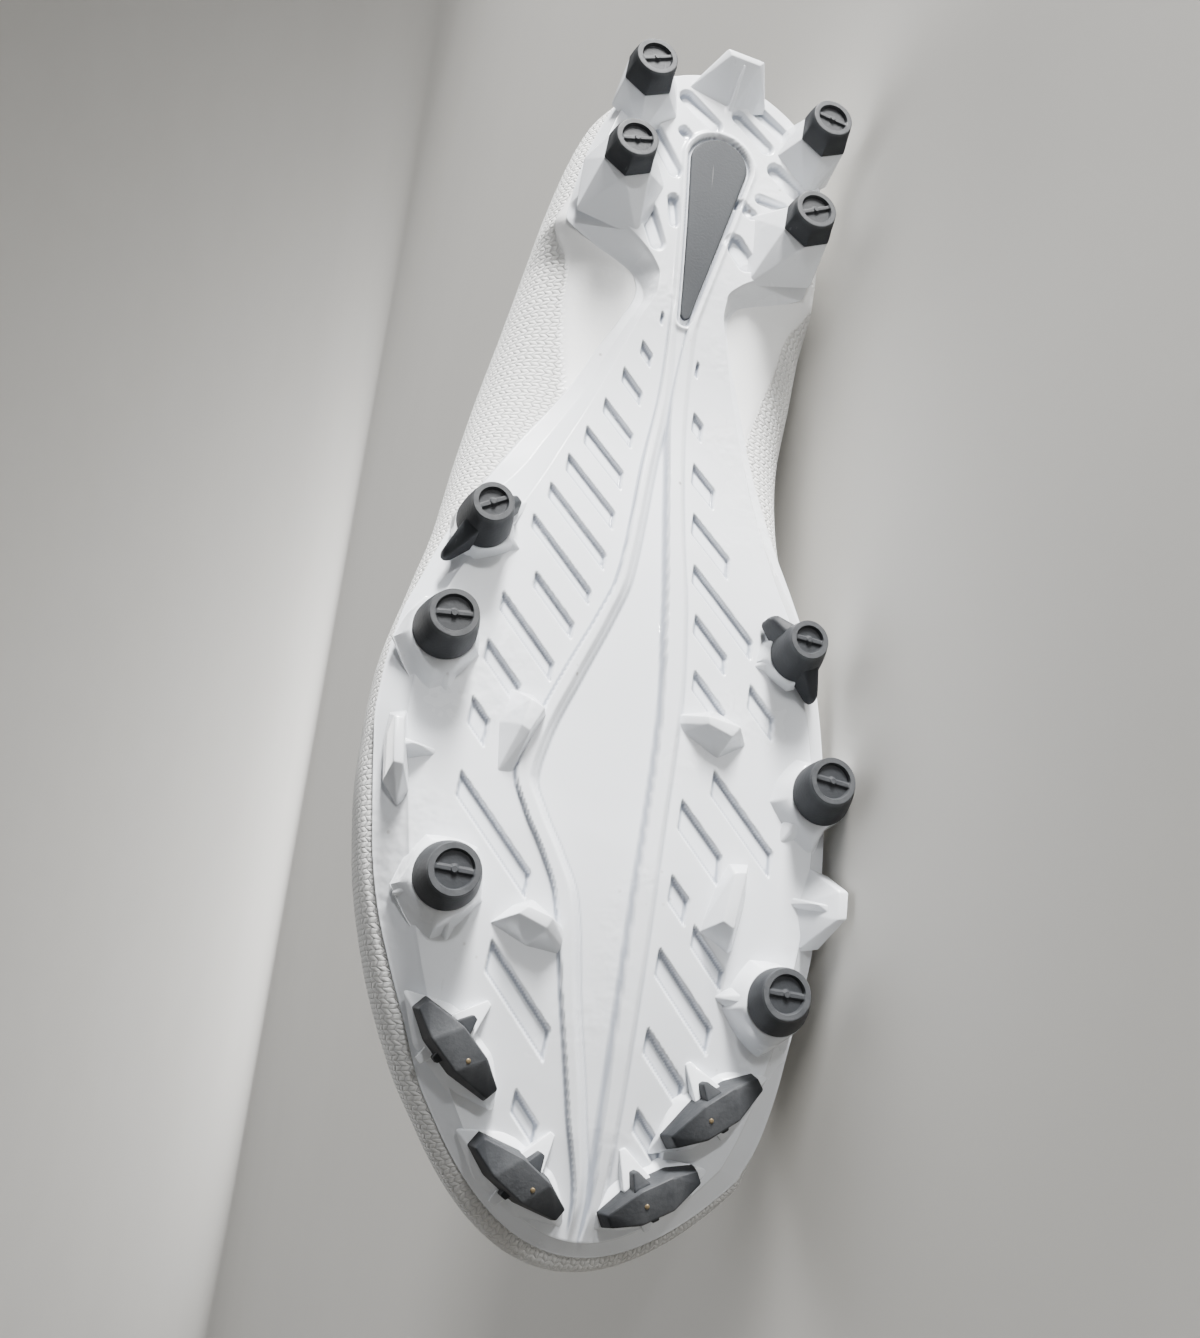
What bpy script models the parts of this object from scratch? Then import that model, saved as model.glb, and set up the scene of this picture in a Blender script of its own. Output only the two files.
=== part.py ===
"""Left american football cleat, lying on its medial side with the sole to the front.

The shoe is modelled in its own frame: +X from heel to toe, +Y to the lateral side, +Z from the
sole up into the shoe, with the heel's back at X = 0 and the plate's flat at Z = 0. An empty then
lays the whole shoe down. Lengths are metres.

Tables give places along the shoe ("at") in percent of LENGTH and places across it ("across",
"lateral", "medial", "half") in percent of BALL_WIDTH, unless a table says otherwise.
"""

import math

import bmesh
import bpy
import numpy as np
from mathutils import Matrix, Vector

# Driving sizes of the shoe
LENGTH = 0.290
BALL_WIDTH = 0.098
HEEL_HEIGHT = 0.082
ARCH_RISE = 0.006
TOE_SPRING = 0.016
GAP = 0.0003

# Upper, tongue and insole
WALL = 0.002
FILM_STEP = 0.0006
TONGUE_THICKNESS = 0.004
TONGUE_LAP = 0.009
TONGUE_HALF = 0.0205
TONGUE_SAG = 0.0035
TONGUE_RISE = 0.012
INSOLE_THICKNESS = 0.0035
INSOLE_TIP_LAP = 3.5
LACE_WIDTH = 0.005
LACE_THICKNESS = 0.0016
LACE_LIFT = 0.0014
LACE_CROWN = 0.0025
LACE_CROSSINGS = 5

# Plate
PLATE_THICKNESS = 0.0045
RAIL_HEIGHT = 0.0009
RAIL_FLANK = 0.6
FIELD_DEPTH = 0.0004
SLOT_DEPTH = 0.0011
FOOT_SINK = 0.0015
SLOT_SLOPE = 0.93
INSET_THICKNESS = 0.0014
INSET_HALF_WIDTH = 0.0076
INSET_START = 0.0245
INSET_END = 0.0770

# Studs
STUD_HEIGHT = 0.012
HEEL_TIP_RADIUS = 0.0051
HEEL_TIP_ROOT = 0.0066
HEEL_TIP_HEIGHT = 0.0060
BALL_TIP_RADIUS = 0.0051
BALL_TIP_ROOT = 0.0067
BALL_TIP_HEIGHT = 0.0088
WING_TIP_RADIUS = 0.0044
WING_TIP_ROOT = 0.0060
WING_TIP_HEIGHT = 0.0096
TIP_RIM = 0.0012
TIP_RECESS = 0.0011
TIP_BAR = 0.0019
TIP_SHOULDER = 0.12
TIP_POINTS = 16
FIN_HEIGHT = 0.0066
BLADE_HEIGHT = 0.0085
BLADE_WIDTH = 0.0066
BLADE_SEAT = 0.0016
BLADE_SEAT_SPREAD = 0.0024
BLADE_DRAFT = 0.0008
NUB_REACH = 0.0026
NUB_ROOT = 0.0028
NUB_TIP = 0.0011

# How the shoe lies: turned about its own length, then about the floor's depth
REST_ROLL = math.radians(-3.87)
REST_PITCH = math.radians(5.8)

# Kinds of round tip: tip radius, root radius, height of the grey tip, sides of the root
TIP_SIZES = {
    "heel": (HEEL_TIP_RADIUS, HEEL_TIP_ROOT, HEEL_TIP_HEIGHT, 6),
    "ball": (BALL_TIP_RADIUS, BALL_TIP_ROOT, BALL_TIP_HEIGHT, 0),
    "wing": (WING_TIP_RADIUS, WING_TIP_ROOT, WING_TIP_HEIGHT, 0),
}

# Plate, outer edge at the top of its side wall: at, lateral, medial
PLATE_EDGE = (
    (4.8, 25.5, -25.5), (7.6, 29.6, -29.0), (10.3, 32.0, -31.0), (13.8, 34.0, -31.6),
    (17.2, 35.0, -31.0), (20.0, 35.2, -30.0), (21.7, 26.5, -22.4), (23.4, 15.3, -12.8),
    (24.8, 13.8, -11.2), (27.6, 16.3, -13.3), (31.0, 20.4, -17.3), (34.5, 24.0, -21.0),
    (37.9, 28.6, -24.5), (41.4, 33.7, -28.5), (44.8, 38.0, -32.6), (48.3, 42.3, -37.7),
    (51.7, 45.4, -42.3), (55.2, 48.0, -46.0), (58.6, 50.3, -48.5), (62.1, 51.0, -50.5),
    (65.5, 50.7, -52.0), (69.0, 48.8, -53.0), (72.4, 46.5, -53.5), (75.9, 43.9, -53.4),
    (79.3, 40.3, -52.8), (82.8, 35.2, -51.8), (86.2, 29.6, -51.0), (89.7, 24.0, -49.3),
    (92.4, 17.9, -46.4),
)
PLATE_TIPS = (0.3, 99.1)

# Plate, edge of its flat underside where the side wall starts: at, lateral, medial
FLAT_EDGE = (
    (4.5, 20.4, -20.4), (6.9, 26.0, -25.5), (10.3, 29.0, -28.0), (15.5, 31.6, -29.0),
    (18.3, 33.0, -28.0), (19.3, 25.5, -22.4), (20.7, 16.8, -16.3), (22.1, 11.7, -11.2),
    (23.4, 9.4, -8.8), (24.8, 9.2, -8.8), (27.6, 11.7, -11.0), (31.0, 14.5, -14.0),
    (34.5, 17.3, -17.1), (37.9, 20.4, -20.4), (41.4, 23.8, -23.5), (44.8, 27.0, -27.3),
    (48.3, 31.0, -31.6), (51.7, 36.7, -36.7), (55.2, 41.3, -40.3), (58.6, 43.9, -42.8),
    (62.1, 44.7, -45.2), (65.5, 44.2, -46.9), (69.0, 42.1, -48.0), (72.4, 39.5, -48.2),
    (75.9, 36.7, -48.0), (79.3, 33.3, -47.3), (82.8, 28.9, -46.3), (86.2, 24.0, -44.9),
    (89.7, 18.4, -42.4), (91.7, 14.3, -40.3),
)
FLAT_TIPS = (1.7, 97.9)

# Raised rails beside the smooth field: at, lateral outer and inner edge, medial inner and outer
RAILS = (
    (0.0, 5.0, 2.0, -2.0, -5.0), (5.0, 6.6, 3.6, -3.6, -6.6), (8.3, 9.4, 6.2, -6.2, -9.4),
    (11.7, 12.0, 9.2, -8.8, -11.6), (17.2, 10.2, 7.4, -6.4, -9.2), (22.4, 7.2, 5.0, -3.4, -5.6),
    (26.9, 4.4, 2.6, -0.6, -2.4), (34.1, 3.1, 0.5, -0.3, -3.7), (41.4, 4.4, 1.6, -2.3, -5.7),
    (48.3, 5.1, 2.4, -4.6, -8.4), (51.7, 5.9, 3.1, -5.9, -10.2), (55.2, 8.7, 5.6, -7.1, -11.6),
    (60.3, 13.8, 10.2, -9.0, -13.1), (65.5, 18.2, 14.5, -9.8, -13.5), (68.3, 19.6, 15.5, -10.0, -13.6),
    (70.7, 16.3, 12.0, -10.1, -13.7), (73.1, 11.4, 7.1, -10.2, -13.9), (75.9, 6.6, 2.2, -10.5, -14.3),
    (82.8, 0.5, -3.1, -11.7, -15.3), (89.7, -5.9, -9.2, -13.3, -16.5), (95.9, -11.7, -13.7, -15.1, -17.3),
    (99.3, -12.4, -13.9, -15.1, -16.7),
)

# Slanted slots: at and across of the deep corner, run across of the deep edge, leg towards the toe
SLOTS = (
    (26.4, 7.1, -1.2, 1.2), (29.5, 10.2, -3.6, 1.4), (32.4, 13.3, -6.1, 1.5),
    (35.7, 16.3, -8.7, 1.6), (38.8, 19.4, -11.0, 1.9), (41.9, 22.4, -13.6, 1.8),
    (45.0, 25.2, -16.0, 1.6), (48.2, 27.6, -16.5, 1.4), (52.9, 24.5, -11.0, 1.5),
    (55.2, 30.6, -14.5, 1.7), (59.1, 31.6, -9.4, 1.8), (63.6, 32.0, -5.0, 2.2),
    (69.0, 31.0, -19.0, 2.0), (79.7, 17.3, -16.3, 2.3), (88.8, 5.6, -6.6, 1.7),
    (29.8, -4.4, -1.2, 1.5), (34.5, -6.1, -3.3, 1.9), (39.3, -8.0, -6.6, 2.1),
    (44.0, -9.6, -10.6, 2.1), (48.6, -11.3, -16.8, 1.8), (52.8, -13.3, -9.2, 1.8),
    (57.3, -15.0, -9.0, 1.8), (57.3, -28.5, -7.2, 2.1), (64.6, -23.0, -16.3, 2.1),
    (67.3, -16.8, -11.2, 2.4), (72.8, -17.3, -5.0, 2.1), (75.9, -24.0, -8.7, 1.7),
    (77.9, -17.5, -15.0, 2.1), (83.3, -18.4, -10.7, 1.9), (88.6, -19.9, -7.7, 1.7),
)

# Rounded slots of the heel: at and across of both ends, width in percent of BALL_WIDTH
HEEL_SLOTS = (
    (5.2, 12.2, 6.9, 3.0, 3.0), (9.0, 10.9, 9.5, 9.9, 3.2), (9.8, 18.8, 13.0, 11.8, 3.2),
    (15.9, 10.4, 17.9, 8.9, 2.6), (18.1, 16.2, 20.3, 12.2, 3.4), (3.6, -6.6, 5.8, -16.0, 2.6),
    (5.2, -2.8, 7.6, -10.0, 2.8), (9.5, -15.4, 11.2, -20.6, 3.4), (13.0, -12.4, 13.3, -18.6, 2.2),
    (13.9, -4.6, 14.8, -10.8, 2.4), (18.1, -6.4, 20.0, -11.4, 4.4),
)

# Round studs: name, at and across of the tip, at and across of the root, kind
STUDS = (
    ("heel_tip_back_lateral", 6.48, 23.7, 6.6, 23.9, "heel"),
    ("heel_tip_back_medial", 5.93, -24.4, 6.1, -24.8, "heel"),
    ("heel_tip_front_lateral", 15.34, 24.3, 15.4, 24.6, "heel"),
    ("heel_tip_front_medial", 16.03, -23.5, 16.1, -23.9, "heel"),
    ("waist_tip_lateral", 50.66, 37.9, 50.9, 38.2, "wing"),
    ("waist_tip_medial", 54.34, -36.3, 54.6, -37.4, "wing"),
    ("ball_tip_back_lateral", 59.55, 40.4, 59.8, 41.0, "ball"),
    ("ball_tip_front_lateral", 76.48, 29.1, 76.6, 29.3, "ball"),
    ("ball_tip_back_medial", 64.52, -45.7, 64.9, -47.3, "ball"),
    ("ball_tip_front_medial", 79.83, -41.1, 80.2, -43.2, "ball"),
)

# White foot under each round stud: how far its root spreads from the stud, percent of BALL_WIDTH
STUD_FEET = {
    # towards the toe, towards the heel, lateral, medial
    "heel_tip_back_lateral": (11.5, 9.0, 7.0, 9.5),
    "heel_tip_back_medial": (12.0, 9.0, 9.5, 5.5),
    "heel_tip_front_lateral": (12.5, 9.0, 9.5, 11.0),
    "heel_tip_front_medial": (13.0, 9.0, 11.0, 6.0),
    "waist_tip_lateral": (7.5, 7.0, 6.0, 8.5),
    "waist_tip_medial": (7.5, 7.0, 8.5, 5.5),
    "ball_tip_back_lateral": (13.0, 8.0, 9.3, 8.5),
    "ball_tip_front_lateral": (12.0, 9.0, 9.5, 8.5),
    "ball_tip_back_medial": (13.0, 8.5, 11.0, 5.0),
    "ball_tip_front_medial": (11.0, 9.0, 10.0, 7.0),
}

# Fins of the two waist tips: tip's name, end of the fin at and across, its width across
FINS = (
    ("waist_tip_lateral", 53.6, 44.4, 1.6), ("waist_tip_lateral", 48.3, 31.2, 1.6),
    ("waist_tip_medial", 57.4, -43.0, 1.6), ("waist_tip_medial", 52.2, -29.0, 1.6),
)

# Long blades at the toe: name, at and across of both ends, at and across of the side nub
BLADES = (
    ("toe_blade_back_lateral", 84.7, 28.0, 89.6, 11.0, 84.6, 16.4),
    ("toe_blade_back_medial", 85.7, -43.0, 90.4, -26.6, 85.9, -30.2),
    ("toe_blade_front_lateral", 92.4, 11.2, 96.2, -8.0, 92.0, -2.8),
    ("toe_blade_front_medial", 92.3, -34.4, 96.0, -17.4, 91.9, -19.6),
)

# White lugs: name, height in percent of STUD_HEIGHT, foot corners and top corners (at, across)
LUGS = (
    ("heel back", 62,
     ((0.9, 8.0), (4.4, 13.0), (5.2, 0.0), (3.6, -10.0), (0.9, -8.0)),
     ((1.0, 5.0), (1.0, -5.0), (1.6, 0.0))),
    ("ball lateral, inner", 42,
     ((62.6, 24.5), (69.2, 24.6), (69.2, 20.2), (63.9, 16.0), (62.4, 18.0)),
     ((63.9, 22.0), (65.2, 20.6), (64.9, 18.6), (63.6, 19.6))),
    ("ball lateral, front", 42,
     ((78.8, 19.4), (77.0, 15.6), (77.0, 4.0), (79.8, 0.4), (80.0, 4.0)),
     ((78.2, 14.4), (78.4, 7.8), (77.4, 6.6), (77.4, 13.0))),
    ("ball medial, inner", 40,
     ((60.8, -12.2), (60.8, -24.6), (62.4, -30.2), (64.0, -22.0), (62.3, -12.4)),
     ((61.4, -19.0), (61.7, -24.6), (62.4, -23.2), (62.2, -19.4))),
    ("ball medial, front", 40,
     ((71.6, -30.4), (71.6, -34.6), (76.6, -34.0), (78.0, -30.0), (76.2, -24.6)),
     ((72.6, -31.0), (72.6, -33.2), (76.0, -32.0), (76.0, -28.6))),
    ("ball lateral, edge", 46,
     ((65.8, 46.2), (66.0, 43.6), (72.2, 40.4), (72.4, 43.4), (68.6, 37.8)),
     ((67.0, 45.0), (67.0, 43.8), (70.0, 42.2), (70.0, 43.6))),
    ("ball medial, edge", 46,
     ((70.0, -46.0), (70.4, -53.0), (75.8, -53.2), (76.4, -46.6), (73.4, -43.0)),
     ((71.8, -55.0), (73.6, -55.4), (73.0, -51.0))),
)

# Upper, its widest line: at, lateral, medial
WIDEST = (
    (4.1, 27.5, -27.5), (8.6, 35.7, -34.0), (15.5, 39.3, -36.7), (20.7, 40.8, -37.7),
    (27.6, 42.8, -38.3), (34.5, 44.9, -37.7), (41.4, 46.4, -38.3), (48.3, 47.4, -41.0),
    (55.2, 50.0, -46.5), (62.1, 52.3, -51.0), (69.0, 51.0, -53.6), (75.9, 47.0, -54.1),
    (82.8, 39.6, -53.6), (89.7, 28.2, -51.4), (93.1, 20.4, -49.0),
)
WIDEST_TIPS = (-1.0, 100.6)
BOTTOM_LAP = 4.6

# Opening of the upper: at on the widest line, at of the edge above it, half, centre line across,
# height in percent of HEEL_HEIGHT
OPENING = (
    (4.1, 5.6, 17.0, 0.0, 97.0), (10.0, 10.0, 25.0, 0.0, 93.0), (15.5, 15.0, 29.5, 0.5, 86.0),
    (22.0, 21.5, 31.0, 1.0, 80.0), (28.0, 27.5, 29.0, 1.0, 83.0), (34.5, 33.5, 24.0, 0.5, 94.0),
    (39.0, 37.5, 19.0, 0.0, 101.0), (45.0, 41.5, 16.0, -1.0, 102.0), (55.0, 49.0, 13.0, -2.0, 95.0),
    (69.0, 57.0, 10.5, -3.0, 85.5), (82.8, 63.5, 8.7, -3.5, 78.0), (93.1, 67.5, 7.2, -4.0, 74.0),
)
OPENING_TIPS = (2.8, 68.8)

# Section of the upper: at, height of the widest line above the plate in percent of HEEL_HEIGHT,
# squareness of the lower corner, then rise, reach and drop of the upper curve's two handles
SECTION = (
    (0.0, 33.0, 3.0, 0.40, 0.10, 0.35), (20.0, 33.0, 2.9, 0.45, 0.15, 0.30),
    (34.5, 30.0, 2.3, 0.50, 0.35, 0.20), (45.0, 28.0, 2.5, 0.50, 0.50, 0.12),
    (60.0, 24.0, 3.6, 0.50, 0.55, 0.06), (75.0, 20.0, 4.0, 0.50, 0.55, 0.06),
    (93.1, 15.0, 3.6, 0.45, 0.60, 0.22), (100.0, 14.0, 3.4, 0.45, 0.60, 0.22),
)

# Smooth film of the rear quarter: at, share of the lower section that it covers
FILM = ((0.0, 0.80), (26.0, 0.80), (28.0, 0.70), (31.0, 0.50), (34.5, 0.34), (38.0, 0.30))
FILM_END = 36.5

# Insole: how far its edge stays inside each place of the widest line
INSOLE_LAP = (8.0, 9.0, 10.0, 12.0, 14.0, 15.0, 14.0, 13.0, 11.0, 9.5, 9.5, 9.5, 9.5, 9.5, 9.5)

# Insole, height over the turned-in edge: at, metres
INSOLE_LIFT = (
    (0.0, 0.0016), (20.0, 0.0018), (30.0, 0.0040), (45.0, 0.0034), (60.0, 0.0016), (100.0, 0.0016),
)


def smooth(table, column, at):
    """Value of a table's column at a place along the shoe, as a curve with no overshoot."""
    x = np.array([row[0] for row in table], float)
    y = np.array([row[column] for row in table], float)
    step = np.diff(x)
    slope = np.diff(y) / step
    inner = np.where(
        slope[:-1] * slope[1:] > 0,
        2 * slope[:-1] * slope[1:] / np.where(slope[:-1] + slope[1:] == 0, 1, slope[:-1] + slope[1:]),
        0.0,
    )
    tangent = np.concatenate([slope[:1], inner, slope[-1:]])
    at = np.clip(at, x[0], x[-1])
    i = np.clip(np.searchsorted(x, at, side="right") - 1, 0, len(step) - 1)
    t = (at - x[i]) / step[i]
    return (
        y[i] * (1 + 2 * t) * (1 - t) ** 2
        + tangent[i] * step[i] * t * (1 - t) ** 2
        + y[i + 1] * t * t * (3 - 2 * t)
        + tangent[i + 1] * step[i] * t * t * (t - 1)
    )


def base(at):
    """Height of the plate's underside: it rises under the arch and towards the toe."""
    arch = ARCH_RISE * np.exp(-(((at - 34.5) / 13.1) ** 2))
    toe = TOE_SPRING * np.clip((at - 70.7) / 29.3, 0, None) ** 1.8
    return arch + toe


def place(at, across, up):
    """Points of the shoe from percents and a height above the plate's underside."""
    at, across, up = np.broadcast_arrays(
        np.asarray(at, float), np.asarray(across, float), np.asarray(up, float)
    )
    return np.stack([at * LENGTH / 100, across * BALL_WIDTH / 100, base(at) + up], axis=-1)


def side_stations():
    """Shares along a side of an outline, closer together at the front of the heel."""
    return np.unique(np.concatenate([np.linspace(0, 1, 20), np.linspace(0.16, 0.24, 6)]))


def end_stations():
    return np.linspace(-1, 1, 12)[1:-1]


def loop(table, tips):
    """Closed outline: lateral side to the toe, toe arc, medial side back, heel arc."""
    first, last = table[0][0], table[-1][0]
    at = first + side_stations() * (last - first)
    lateral = np.stack([at, smooth(table, 1, at)], axis=-1)
    medial = np.stack([at, smooth(table, 2, at)], axis=-1)[::-1]
    share = end_stations()
    toe_middle = (table[-1][1] + table[-1][2]) / 2
    toe_half = (table[-1][1] - table[-1][2]) / 2
    heel_middle = (table[0][1] + table[0][2]) / 2
    heel_half = (table[0][1] - table[0][2]) / 2
    toe = np.stack(
        [last + (tips[1] - last) * (1 - share**2), toe_middle - share * toe_half], axis=-1
    )
    heel = np.stack(
        [first + (tips[0] - first) * (1 - share**2), heel_middle + share * heel_half], axis=-1
    )
    return np.concatenate([lateral, toe, medial, heel])


def patch(table, tips, columns):
    """Plan grid [station, column] inside an outline, whose first and last rows are its end arcs.

    columns gives, for a station, the places across as shares from lateral (1) to medial (-1).
    """
    first, last = table[0][0], table[-1][0]
    side = first + side_stations() * (last - first)
    rows = []
    for at in side:
        lateral, medial = smooth(table, 1, at), smooth(table, 2, at)
        middle, half = (lateral + medial) / 2, (lateral - medial) / 2
        share = columns(at, middle, half)
        bow_toe = (tips[1] - last) * np.clip((at - 80.0) / (last - 80.0), 0, 1) ** 2
        bow_heel = (tips[0] - first) * np.clip((16.0 - at) / (16.0 - first), 0, 1) ** 2
        rows.append(
            np.stack([at + (bow_toe + bow_heel) * (1 - share**2), middle + share * half], axis=-1)
        )
    return np.array(rows)


def new_object(name, points, faces, color, collection, roughness=0.45):
    """Mesh object with its own material."""
    mesh = bpy.data.meshes.new(name)
    mesh.from_pydata([tuple(p) for p in np.asarray(points, float).reshape(-1, 3)], [], faces)
    mesh.update()
    material = bpy.data.materials.new(name)
    material.use_nodes = True
    shader = material.node_tree.nodes["Principled BSDF"]
    shader.inputs["Base Color"].default_value = (*color, 1.0)
    shader.inputs["Roughness"].default_value = roughness
    shader.inputs["Metallic"].default_value = 0.0
    mesh.materials.append(material)
    obj = bpy.data.objects.new(name, mesh)
    collection.objects.link(obj)
    return obj


def outward(obj):
    """Turns a closed mesh's faces outward."""
    work = bmesh.new()
    work.from_mesh(obj.data)
    bmesh.ops.recalc_face_normals(work, faces=work.faces)
    if work.calc_volume(signed=True) < 0:
        bmesh.ops.reverse_faces(work, faces=work.faces)
    work.to_mesh(obj.data)
    work.free()
    return obj


def grid_faces(rows, columns, closed=False, offset=0):
    """Quads of a grid of points, row by row; closed joins the last column to the first."""
    faces = []
    for i in range(rows - 1):
        for j in range(columns if closed else columns - 1):
            a, b = i * columns + j, i * columns + (j + 1) % columns
            faces.append(tuple(offset + k for k in (a, b, b + columns, a + columns)))
    return faces


def hull_mesh(point_sets):
    """One mesh that holds the convex hull of each set of points."""
    mesh = bpy.data.meshes.new("hulls")
    whole = bmesh.new()
    for points in point_sets:
        one = bmesh.new()
        for point in np.asarray(points, float).reshape(-1, 3):
            one.verts.new(point)
        result = bmesh.ops.convex_hull(one, input=one.verts)
        loose = [v for v in result["geom_interior"] if isinstance(v, bmesh.types.BMVert)]
        bmesh.ops.delete(one, geom=loose, context="VERTS")
        bmesh.ops.recalc_face_normals(one, faces=one.faces)
        one.to_mesh(mesh)
        one.free()
        whole.from_mesh(mesh)
    whole.to_mesh(mesh)
    whole.free()
    return mesh


def combine(obj, mesh, operation, cutters, touching=False, solver="EXACT"):
    """Boolean of an object with a mesh; touching says that the mesh's own bodies overlap."""
    tool = bpy.data.objects.new(f"{obj.name}_{operation.lower()}", mesh)
    tool.hide_render = True
    tool.display_type = "WIRE"
    cutters.objects.link(tool)
    modifier = obj.modifiers.new(operation.title(), "BOOLEAN")
    modifier.operation = operation
    modifier.object = tool
    modifier.solver = solver
    modifier.use_self = touching


def plate_columns(at, middle, half):
    """Shares across of the flat's grid lines, which follow the two rails and the field."""
    rails = np.array([smooth(RAILS, c, at) for c in (1, 2, 3, 4)])
    lines = np.array([
        rails[0] + RAIL_FLANK, rails[0], rails[1], rails[1] - RAIL_FLANK / 2,
        rails[2] + RAIL_FLANK / 2, rails[2], rails[3], rails[3] - RAIL_FLANK,
    ])
    share = np.clip((lines - middle) / half, -0.93, 0.93)
    lateral = 1 + (share[0] - 1) * np.array([0.0, 0.5])
    medial = -1 + (share[-1] + 1) * np.array([0.5, 0.0])
    return np.concatenate([lateral, share, medial])


def even_columns(at, middle, half):
    return np.linspace(1, -1, 12)


def insole_columns(at, middle, half):
    return np.linspace(1, -1, 5)


def boundary(rows, columns):
    """Indices round a grid: lateral side, last row, medial side back, first row back."""
    return (
        [i * columns for i in range(rows)]
        + [(rows - 1) * columns + j for j in range(1, columns)]
        + [i * columns + columns - 1 for i in range(rows - 2, -1, -1)]
        + list(range(columns - 2, 0, -1))
    )


def make_outsole(parts, cutters):
    flat = patch(FLAT_EDGE, FLAT_TIPS, plate_columns)
    top = patch(PLATE_EDGE, PLATE_TIPS, even_columns)
    rows, columns = flat.shape[:2]
    height = np.zeros((rows, columns))
    height[:, [3, 4, 7, 8]] = -RAIL_HEIGHT
    height[:, [5, 6]] = FIELD_DEPTH
    height[[0, -1], :] = 0.0
    under = place(flat[..., 0], flat[..., 1], height)
    over = place(top[..., 0], top[..., 1], PLATE_THICKNESS)
    count = rows * columns
    faces = grid_faces(rows, columns) + [f[::-1] for f in grid_faces(rows, columns, offset=count)]
    ring = boundary(rows, columns)
    for a, b in zip(ring, ring[1:] + ring[:1]):
        faces.append((a, b, b + count, a + count))
    points = np.concatenate([under.reshape(-1, 3), over.reshape(-1, 3)])
    plate = outward(new_object("outsole", points, faces, (0.82, 0.84, 0.86), parts, 0.25))
    # The plate's curved faces meet many cutters at shallow angles, which EXACT leaves open
    for mesh in (hull_mesh(slot_cutters()), inset_pocket()):
        combine(plate, mesh, "DIFFERENCE", cutters, solver="MANIFOLD")
    for shapes in (stud_feet(), lug_hulls(), blade_seats()):
        combine(plate, hull_mesh(shapes), "UNION", cutters, solver="MANIFOLD")
    return plate


def slot_cutters():
    """A wedge for each slanted slot, deep along its edge towards the heel, and capsules at the heel."""
    shapes = []
    below = -3 * SLOT_DEPTH
    for at, across, run, leg in SLOTS:
        travel = abs(run) * SLOT_SLOPE * BALL_WIDTH / LENGTH
        ats = [at, at + travel, at + travel + leg, at + leg]
        acrosses = [across, across + run, across + run, across]
        deep = [SLOT_DEPTH, SLOT_DEPTH, SLOT_DEPTH / 6, SLOT_DEPTH / 6]
        shapes.append(np.concatenate([place(ats, acrosses, deep), place(ats, acrosses, below)]))
    turn = np.linspace(0, 2 * math.pi, 9)[:-1]
    for at_a, across_a, at_b, across_b, width in HEEL_SLOTS:
        around_at = np.cos(turn) * width / 2 * BALL_WIDTH / LENGTH
        around_across = np.sin(turn) * width / 2
        ats = np.concatenate([at_a + around_at, at_b + around_at])
        acrosses = np.concatenate([across_a + around_across, across_b + around_across])
        shapes.append(
            np.concatenate([place(ats, acrosses, SLOT_DEPTH), place(ats, acrosses, below)])
        )
    return shapes


def inset_plan(clearance, count=9):
    """Drop shape of the heel inset: places along, middle line and half width, in metres."""
    share = np.linspace(0, 1, count)
    start, end = INSET_START - clearance, INSET_END + clearance
    along = start + (end - start) * share**1.3
    shape = np.sqrt(np.clip(share**1.3 / 0.2, 0, 1) * (2 - np.clip(share**1.3 / 0.2, 0, 1)))
    taper = 1 - 0.86 * np.clip((share**1.3 - 0.2) / 0.8, 0, 1)
    half = INSET_HALF_WIDTH * np.maximum(shape * taper, 0.1) + clearance
    middle = 0.015 * (along - start)
    return along, middle, half


def inset_body(clearance, low, high):
    """Closed points and faces of the inset's drop between two heights over the plate's underside."""
    along, middle, half = inset_plan(clearance)
    across = np.stack([middle + half, middle, middle - half], axis=-1) * 100 / BALL_WIDTH
    at = np.repeat(along[:, None], 3, axis=1) * 100 / LENGTH
    rows, columns = at.shape
    count = rows * columns
    faces = grid_faces(rows, columns) + [f[::-1] for f in grid_faces(rows, columns, offset=count)]
    ring = boundary(rows, columns)
    for a, b in zip(ring, ring[1:] + ring[:1]):
        faces.append((a, b, b + count, a + count))
    points = np.concatenate([place(at, across, up).reshape(-1, 3) for up in (low, high)])
    return points, faces


def inset_pocket():
    points, faces = inset_body(GAP, -3 * RAIL_HEIGHT, INSET_THICKNESS + GAP)
    mesh = bpy.data.meshes.new("inset_pocket")
    mesh.from_pydata([tuple(p) for p in points], [], faces)
    work = bmesh.new()
    work.from_mesh(mesh)
    bmesh.ops.recalc_face_normals(work, faces=work.faces)
    work.to_mesh(mesh)
    work.free()
    return mesh


def make_heel_inset(parts):
    points, faces = inset_body(0.0, 0.0, INSET_THICKNESS)
    return outward(new_object("heel_inset", points, faces, (0.13, 0.14, 0.15), parts))


def tip_ring(centre, radius, sides=0):
    """Ring of points about a centre; with sides it bulges into that many flats."""
    turn = np.arange(TIP_POINTS) * 2 * math.pi / TIP_POINTS
    reach = np.full(TIP_POINTS, radius)
    if sides:
        within = np.mod(turn, 2 * math.pi / sides) - math.pi / sides
        reach = radius * (0.55 + 0.45 * math.cos(math.pi / sides) / np.cos(within)) * 1.03
    ring = np.stack([reach * np.cos(turn), reach * np.sin(turn), np.zeros(TIP_POINTS)], axis=-1)
    return np.asarray(centre) + ring


def stud_axis(stud):
    """Centre of a stud's flat end and of its grey tip's root."""
    _, at, across, root_at, root_across, kind = stud
    height = TIP_SIZES[kind][2]
    end = place(at, across, 0.0)
    end[2] = -STUD_HEIGHT
    root = place(root_at, root_across, 0.0)
    root[2] = -STUD_HEIGHT + height
    return end, root


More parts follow.
